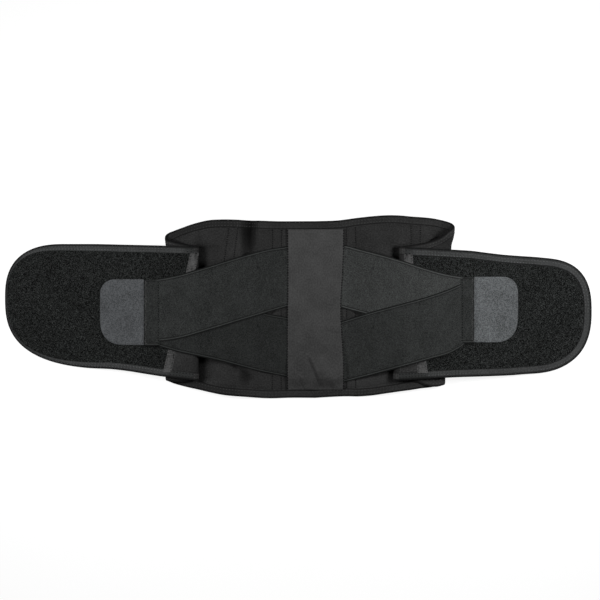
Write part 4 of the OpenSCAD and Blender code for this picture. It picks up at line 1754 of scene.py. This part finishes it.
@dataclass
class SideFold:
    """The part of a side that lies folded over itself, with its binding."""

    run: SideRun
    steps: int = 96
    rows: int = 100
    inset: float = 0.7
    start_z: float = 9.4  # height above which it follows the side
    climb: float = 11.5  # height over which it comes to follow
    whole: float = 1.13  # both shares together

    def build(self) -> None:
        """Makes the folded cloth, its tape and the tape's stitches."""
        run, name = self.run, self.run.name
        u = ramp(run.turns[0], run.turns[3], self.steps)
        low, high = (
            run.edge(u, level) - level.sign * self.inset for level in (Level.LOWER, Level.UPPER)
        )
        us, ys = column(u, self.rows), between(low, high, ramp(0, 1, self.rows))
        mid, out = run.cloth(us, ys)
        fold = Piece(f"{name}_fold_cloth", Dress.FOLD)
        fold.slab(mid + out * run.half, mid - out * run.half, pair(us, ys))
        self.blend(fold.padded(0.4, f"{name}_fold_panel"))
        inward, height = BINDING.profile()
        depth = BINDING.width * inward
        us = column(u, len(depth))
        tape = Piece(f"{name}_fold_tape", Dress.FOLD_TAPE_PAINTED_LIGHT_ON_RIGHT[run.side])
        thread = Stitches(f"{name}_fold_stitches", Dress.MID_THREAD, 4.0, 1.9, 0.45)
        for level in Level:
            edge = run.edge(u, level)
            mid, out = run.cloth(us, edge[:, None] - level.sign * depth)
            tape.tube(mid + out * height[:, None], pair(u[:, None], depth))
            for row in BINDING.rows:
                mid, out = run.cloth(u, edge - level.sign * row)
                for up in (out, -out):
                    thread.row(mid + up * BINDING.thread_z, up)
        self.blend(tape.solid(f"{name}_fold_binding"))
        self.blend(thread.piece.build())

    def blend(self, thing: bpy.types.Object) -> None:
        """Works out two points that a piece would unfold between, and bakes its place into its
        mesh: it would follow the side more, the higher and the further in it lies.

        The share would be a (X0 - X) + b (Z - Z0), held between 0 and 1: none on the panel's
        end, also where its corner stands up, and all of it at the wing's root.

        Args:
            thing: The piece.
        """
        run = self.run
        inward = run.unfold / (run.panel_x - run.root_x)
        up = (self.whole - run.unfold) / self.climb
        reach = inward**2 + up**2
        start = (run.panel_x, 0.0, self.start_z)
        end = (run.panel_x - inward / reach, 0.0, self.start_z + up / reach)
        f"{run.name}_side"
        run.point(*start)
        run.point(*end)
        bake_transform(thing)


@dataclass
class Wing:
    """Root and wing of one side: loop field, plain root cloth, satin tape, lining and binding."""

    run: SideRun
    lining_t: float = 1.0
    inset: float = 0.9
    tape_w: float = 10.8
    tape_top: float = 22.0  # how much earlier the binding's dark run ends at the top
    sewn_w: float = 4.6  # binding narrower than this shows no stitches
    bend_l: float = 8.0  # half the length over which the wing swings
    bend_z: float = 20.0
    root_inset: float = 8.5  # from the edge to the root cloth's end
    edge_at: float = 15.0  # where that edge is taken, past the root's start
    cloth_z: tuple[float, float] = (1.8, 2.15)  # under and upper face above the middle
    tape_z: tuple[float, float] = (2.1, 2.2)
    joint_thread: tuple[float, float] = (0.38, 2.62)  # part of the width, and height
    nap: float = 0.12
    pleat: float = 0.8
    rows: int = 104
    steps: tuple[int, int] = (110, 80)  # along the straight part and the rounded end
    outline_steps: int = 520

    def places(self, inset: float) -> Array:
        """X from the root to the tip, closer together where the outline turns.

        Args:
            inset: How far short of the tip they end.

        Returns:
            The places.
        """
        run, (straight, rounded) = self.run, self.steps
        start, end = run.tip[0] - run.round_top[0], run.tip[0] - inset
        turn = end - (end - start) * (1 - ramp(0, 1, rounded)[1:]) ** 2.5
        return np.concatenate([ramp(run.root_x, start, straight), turn])

    def field(self) -> tuple[Array, Array]:
        """A grid over root and wing, short of the edge by the inset.

        Returns:
            Lengths and heights of its points.
        """
        run, x = self.run, self.places(self.inset)
        rim = []
        for level in (Level.LOWER, Level.UPPER):
            edge = run.wing_edge(x, level)
            steep = np.minimum(np.hypot(1, np.gradient(edge, x)), 6.0)
            rim.append(edge - level.sign * self.inset * steep)
        return column(run.wing_u(x), self.rows), between(*rim, ramp(0, 1, self.rows))

    def outline(self) -> tuple[Array, Array, Array]:
        """The wing's edge from the root's top round the tip to the root's bottom.

        Returns:
            X and Y of evenly spaced points, the inward direction there, and how far
            along the edge they lie.
        """
        run, side = self.run, self.places(0.0)
        upper, lower = (pair(side, run.wing_edge(side, level)) for level in Level)
        points = np.concatenate([upper, lower[-2::-1]])
        far = distances(points)
        at = ramp(0, far[-1], self.outline_steps)
        points = np.stack([np.interp(at, far, points[:, k]) for k in (0, 1)], -1)
        dx, dy = np.gradient(points, axis=0).T
        return points, unit(pair(dy, -dx)), distances(points)

    def build(self) -> None:
        """Makes the side's pieces."""
        run, name = self.run, self.run.name
        u, y = self.field()
        mid, out = run.cloth(u, y)
        lay = pair(u, y)
        split = mid + out * (self.lining_t - run.half)
        nap = np.sin(u / 1.1 + 2 * np.sin(y / 2.3)) * np.sin(y / 0.9 + 2 * np.sin(u / 3.1))
        pad = Piece(f"{name}_loop_pad", Dress.LOOP)
        pad.slab(mid + out * (run.half + self.nap * nap)[..., None], split, lay)
        nodes = ("root_foam", "root_loop", "wing_crease", "wing_foam", "wing_loop")
        self.swing(pad.padded(0.35, *(f"{name}_{node}" for node in nodes)))
        lining = Piece(f"{name}_inner", Dress.LINING)
        lining.slab(*(grid[EVERY_OTHER] for grid in (split, mid - out * run.half, lay)))
        self.swing(lining.sheet(f"{name}_loop_pad", f"{name}_root_lining", f"{name}_wing_lining"))
        self.binding()
        self.root()

    def binding(self) -> None:
        """Makes the tape round the wing and its stitches, narrower where the edge rolls under."""
        run, name = self.run, self.run.name
        edge, inner, far = self.outline()
        part, height = BINDING.profile()
        width = Curve(run.hem_widths)(ramp(0, 1, len(far)))
        from_root = np.minimum(far + self.tape_top, far[-1] - far)

        def inwards(depth: Array) -> tuple[Array, Array]:
            """The cloth's middle and its outward direction at a depth from the edge."""
            at = edge[:, None] + depth[..., None] * inner[:, None]
            return run.cloth(run.wing_u(at[..., 0]), at[..., 1])

        depth = width[:, None] * part
        mid, out = inwards(depth)
        tape = Piece(f"{name}_wing_tape", Dress.WING_TAPE)
        tape.tube(mid + out * height[:, None], pair(from_root[:, None], depth))
        self.swing(tape.solid(f"{name}_root_binding", f"{name}_wing_binding"))
        pale = Stitches(f"{name}_wing_stitches", Dress.PALE_THREAD, 4.0, 1.9, 0.5)
        dark = Stitches(f"{name}_root_stitches", Dress.DARK_THREAD, 4.0, 1.9, 0.5)
        rooted = from_root < Dress.WING_TAPE.dark_run
        wing = ~rooted & (width > self.sewn_w)
        lower = far > far[-1] / 2
        runs = [(thread, on & half) for thread, on in ((pale, wing), (dark, rooted))
                for half in (~lower, lower)]
        for row in (0.4, 0.76):
            mid, out = (grid[:, 0] for grid in inwards(row * width[:, None]))
            for up in (out, -out):
                for thread, on in runs:
                    thread.row((mid + up * BINDING.thread_z)[on], up[on])
        self.swing(pale.piece.build())
        self.swing(dark.piece.build())

    def root(self) -> None:
        """Makes the plain cloth at the root and the satin tape where it meets the loops."""
        run, name = self.run, self.run.name
        body, under = f"{name}_side", f"{name}_loop_pad"
        at = np.array(run.turns[3] + self.edge_at)
        low, top = (
            float(run.edge(at, level)) - level.sign * self.root_inset
            for level in (Level.LOWER, Level.UPPER)
        )
        y = ramp(low, top, 150)
        line = run.tape_x(y)
        t = ramp(0, 1, 24)
        us, ys = run.wing_u(run.root_x + (line - run.root_x)[:, None] * t), column(y, len(t))
        mid, out = run.cloth(us, ys)
        cloth = Piece(f"{name}_root_face", Dress.ROOT_RIGHT_PAINTED_LIGHTER[run.side])
        under_z, upper_z = self.cloth_z
        cloth.slab(mid + out * upper_z, mid + out * under_z, pair(us, ys))
        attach(cloth.sheet(under, f"{name}_root_cloth"), body)
        t = ramp(-0.5, 0.5, 16)
        x, ys = line[:, None] + self.tape_w * t, column(y, len(t))
        mid, out = run.cloth(run.wing_u(x), ys)
        pleats = self.pleat * np.sin(ys / 1.15 + 4 * np.sin(3 * t + ys / 7)) * (1 - (2 * t) ** 4)
        bunched = 0.35 + bell((np.sin(ys / 9 + 1) - 0.4) / 0.5)
        crown = 0.5 * (1 - np.abs(2 * t) ** 6) + pleats * bunched
        satin = Piece(f"{name}_joint_satin", Dress.JOINT)
        under_z, upper_z = self.tape_z
        top = mid + out * (upper_z + crown)[..., None]
        satin.slab(top, mid + out * under_z, pair(ys, x - line[:, None]))
        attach(satin.sheet(under, f"{name}_joint_tape"), body)
        thread = Stitches(f"{name}_joint_stitches", Dress.DARK_THREAD, pitch=3.4, radius=0.4)
        part, thread_z = self.joint_thread
        for by in (-part, part):
            mid, out = run.cloth(run.wing_u(line + by * self.tape_w), y)
            thread.row(mid + out * thread_z, out)
        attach(thread.piece.build(), body)

    def swing(self, thing: bpy.types.Object) -> None:
        """Works out where a piece would bend about the tab's seam, and bakes its place into its
        mesh.
        """
        run, name = self.run, self.run.name
        ends = (
            run.point(run.seam_x + by, 0, self.bend_z) for by in (-self.bend_l, self.bend_l)
        )
        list(ends)
        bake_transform(thing)


@dataclass
class PullTab:
    """Grey hook tab and the hem that it is sewn to."""

    run: SideRun
    length: float = 57.0
    height: float = 85.0
    corner_top: float = 21.0
    corner_bottom: float = 29.0
    power: float = 2.3  # of the rounded corners
    hooks_z: float = 0.35
    weave_z: float = 1.05
    top_z: float = 2.3
    hem_z: float = 4.6
    hem_down: float = 1.5  # how far the hem's middle lies below the tab's
    hooks_x: float = 8.6  # from the seam to the hooks
    peel: tuple[float, float] = (-0.8, 2.2)  # from the seam, where it bends
    peel_z: float = 22.0
    rows: int = 61
    columns: int = 48

    def outer_x(self, v: Array) -> Array:
        """Outer end of each row: a bulged edge between two rounded corners.

        Args:
            v: Heights from the tab's middle.

        Returns:
            Lengths from the tab's seam.
        """
        corner = np.where(v > 0, self.corner_top, self.corner_bottom)
        k = np.clip((np.abs(v) - self.height / 2 + corner) / corner, 0, 1)
        turn = 0.95 * corner * (1 - (1 - k**self.power) ** (1 / self.power))
        return self.length - turn - 1.2 * (2 * v / self.height - 0.3) ** 2

    def layer(self, piece: Piece, low: float, high: float, start: float,
              inset: float = 0.0, soft: float = 0.0) -> None:
        """Adds a layer of the tab that lies along the wing.

        Args:
            piece: Piece to add to.
            low: Underside above the wing's outer face.
            high: Upper face.
            start: Where it starts, from the tab's seam.
            inset: How far inside the tab's outline it ends.
            soft: How far its rim is rounded down.
        """
        run, sign = self.run, self.run.side.sign
        v = (self.height / 2 - inset) * np.sin(ramp(-math.pi / 2, math.pi / 2, self.rows))
        s = 1 - (1 - ramp(0, 1, self.columns)) ** 1.6
        reach = self.outer_x(v) - inset + 1.0 - start
        x = run.seam_x + start + reach[:, None] * s
        y = column(run.tab_y + v, self.columns)
        rim = np.minimum(reach[:, None] * (1 - s), (self.height / 2 - inset - np.abs(v))[:, None])
        fall = soft * np.exp(-np.maximum(rim, 0) / 0.9)
        base = run.drop(x) + run.thick + 0.18 * np.sin(x / 8.3 + 1.1) * np.sin(y / 10.7)
        top = stack(sign * x, y, base + high - fall)
        piece.slab(top, stack(sign * x, y, base + low), pair(x, y))

    def build(self) -> None:
        """Makes the tab, its hooks, the hem and their stitches."""
        run, name = self.run, self.run.name
        under = f"{name}_loop_pad"
        hooks = Piece(f"{name}_tab_hook_face", Dress.HOOKS)
        self.layer(hooks, self.hooks_z, self.weave_z, start=self.hooks_x, inset=0.6)
        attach(hooks.sheet(under, f"{name}_tab_hooks", held="laid"), f"{name}_tab")
        weave = Piece(f"{name}_tab_weave", Dress.TAB_PAINTED_LIGHT_AND_SHADE[run.side])
        self.layer(weave, self.weave_z, self.top_z, start=-0.2, soft=0.6)
        thing = weave.sheet(under, f"{name}_tab_backing", held="laid")
        ends = (run.point(run.seam_x + by, 0, self.peel_z) for by in self.peel)
        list(ends)
        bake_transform(thing)
        self.hem()
        self.hem_sewing()

    def hem(self) -> None:
        """Makes the folded hem that joins both bands and the tab."""
        run, sign = self.run, self.run.side.sign
        t, v = np.meshgrid(ramp(0, 1, 26), ramp(-1, 1, 70), indexing="ij")
        x = run.hem_x - 0.4 + (run.hem_w - 0.5) * t
        half = self.height / 2 + 0.4 - 1.2 * bell(t / 0.2) * np.abs(v) ** 4
        y = run.tab_y - self.hem_down + v * half
        rim = 0.35 * bell(t / 0.03) + 1.2 * bell((1 - t) / 0.05)
        rim = rim + 0.5 * bell((1 - np.abs(v)) / 0.02)
        sewn = 0.35 * (bell((t - 0.08) / 0.05) + bell((t - 0.92) / 0.05))
        z = run.drop(x) + run.thick
        web = Piece(f"{run.name}_hem_web", Dress.HEM)
        top, under = (stack(sign * x, y, z + up) for up in (self.hem_z - rim - sewn, 0.05))
        web.slab(top, under, pair(x, y - run.tab_y))
        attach(web.padded(0.9, f"{run.name}_hem"), f"{run.name}_side")

    def hem_sewing(self) -> None:
        """Sews the hem's inner edge, and a zigzag over its outer one."""
        run = self.run
        y = ramp(run.tab_y - 42, run.tab_y + 40, 120)
        up = np.repeat([[0.0, 0.0, 1.0]], len(y), 0)
        dark = Stitches(f"{run.name}_hem_stitches", Dress.DARK_THREAD, pitch=3.4)
        pale = Stitches(f"{run.name}_hem_zigzag", Dress.MID_THREAD, pitch=3.0, length=2.9)
        zigzag = (2 / math.pi) * np.arcsin(np.sin(2 * math.pi * y / 6.0))
        for thread, at, swing in ((dark, 0.9, 0.0), (pale, run.hem_w - 2.5, 1.2)):
            x = run.hem_x + at + swing * zigzag
            z = run.drop(x) + run.thick + self.hem_z - 0.25
            thread.row(stack(run.side.sign * x, y, z), up)
            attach(thread.piece.build(), f"{run.name}_side")


@dataclass
class ClosurePatch:
    """Hooks under the right wing's tip, which close the belt in front."""

    run: SideRun = RIGHT_RUN
    start_x: float = 302.0
    inset: float = 12.5
    thick: float = 1.2
    wing_half: float = 75.0
    rows: int = 60

    def build(self) -> None:
        """Makes the patch: the wing's own outline, drawn in and cut off straight."""
        run = self.run
        tip, middle = run.tip
        reach = tip - self.inset - 0.5 - self.start_x
        x = self.start_x + reach * np.sin(ramp(0, math.pi / 2, 40))
        beside = np.minimum(x + self.inset, tip - 0.2)
        low, high = (
            middle + (run.wing_edge(beside, level) - middle) * (1 - self.inset / self.wing_half)
            for level in (Level.LOWER, Level.UPPER)
        )
        xs, y = column(x, self.rows), between(low, high, ramp(0, 1, self.rows))
        z = run.drop(xs)
        hooks = Piece("closure_hook_face", Dress.HOOKS)
        hooks.slab(stack(xs, y, z + 0.1), stack(xs, y, z - self.thick + 0.05), pair(xs, y))
        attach(hooks.sheet("right_inner", "closure_hooks", held="laid"), "right_wing")


@dataclass(frozen=True)
class Softbox:
    """A square soft lamp that points at the belt's middle."""

    name: str
    at: Triple
    power: float
    size: float = 0.18

    def build(self) -> None:
        """Makes the lamp."""
        light = bpy.data.lights.new(self.name, "AREA")
        light.energy = self.power
        light.size = self.size
        lamp = bpy.data.objects.new(self.name, light)
        lamp.location = self.at
        x, y, z = self.at
        lamp.rotation_euler = (0.0, math.atan2(math.hypot(x, y), z), math.atan2(y, x))
        bpy.context.scene.collection.objects.link(lamp)


@dataclass
class Studio:
    """White floor, a soft lamp on either side, even light all round and the camera."""

    middle: tuple[float, float] = (-0.02015, 0.01235)
    distance: float = 2.612
    lens: float = 120.0
    sensor: float = 36.0
    lamps: tuple[Softbox, ...] = (
        Softbox("left_box", (-0.45, 0.06, 0.45), 2.4),
        Softbox("right_box", (0.45, 0.08, 0.45), 2.95),
    )
    even: float = 0.05
    floor_half: float = 6.0
    floor_z: float = -0.0008
    floor_glow: float = 1.22
    glow_share: float = 0.72

    def build(self) -> None:
        """Makes the floor, the lamps, the world and the camera."""
        scene = bpy.context.scene
        scene.view_settings.view_transform = "Standard"
        self.floor()
        for lamp in self.lamps:
            lamp.build()
        self.world(scene)
        camera = bpy.data.cameras.new("camera")
        camera.lens, camera.sensor_width = self.lens, self.sensor
        eye = bpy.data.objects.new("camera", camera)
        eye.location = (*self.middle, self.distance)
        scene.collection.objects.link(eye)
        scene.camera = eye

    def world(self, scene: bpy.types.Scene) -> None:
        """Even light, seen as white by the camera and in reflections.

        Args:
            scene: The scene that it lights.
        """
        scene.world = bpy.data.worlds.new("even_light")
        scene.world.use_nodes = True
        tree = Tree(scene.world.node_tree)
        rays = tree.add("LightPath").outputs
        seen = rays["Is Camera Ray"]
        for ray in ("Is Glossy Ray", "Is Transmission Ray"):
            seen = tree.math("MAXIMUM", seen, rays[ray])
        level = tree.add("MapRange", {0: seen, 3: self.even, 4: 1.0})
        light = tree.add("Background", {"Strength": level.outputs[0]})
        tree.add("OutputWorld", {0: light.outputs[0]})

    def floor(self) -> None:
        """White floor that shows as white and still takes a faint shadow."""
        mesh = bpy.data.meshes.new("floor")
        s = self.floor_half
        corners = [(x, y, self.floor_z) for x, y in ((-s, -s), (s, -s), (s, s), (-s, s))]
        mesh.from_pydata(corners, [], [(0, 1, 2, 3)])
        material = bpy.data.materials.new("white_floor")
        material.use_nodes = True
        tree = Tree(material.node_tree)
        seen = tree.add("LightPath").outputs["Is Camera Ray"]
        share = tree.math("MULTIPLY", seen, self.glow_share)
        matte = tree.add("BsdfDiffuse", {0: (0.8, 0.8, 0.8, 1.0)})
        glow = tree.add("Emission", {1: self.floor_glow})
        mix = tree.add("MixShader", {0: share, 1: matte.outputs[0], 2: glow.outputs[0]})
        tree.add("OutputMaterial", {0: mix.outputs[0]})
        mesh.materials.append(material)
        floor = bpy.data.objects.new("floor", mesh)
        bpy.context.scene.collection.objects.link(floor)


def main() -> None:
    """Builds the studio and the belt, piece by piece."""
    logging.basicConfig(level=logging.INFO, format="%(name)s %(message)s")
    Studio().build()
    BackPanel().build()
    SpineCover().build()
    for band in BANDS:
        band.build()
    for run in RUNS:
        SideFold(run).build()
        Wing(run).build()
        PullTab(run).build()
    ClosurePatch().build()


if __name__ == "__main__":
    main()
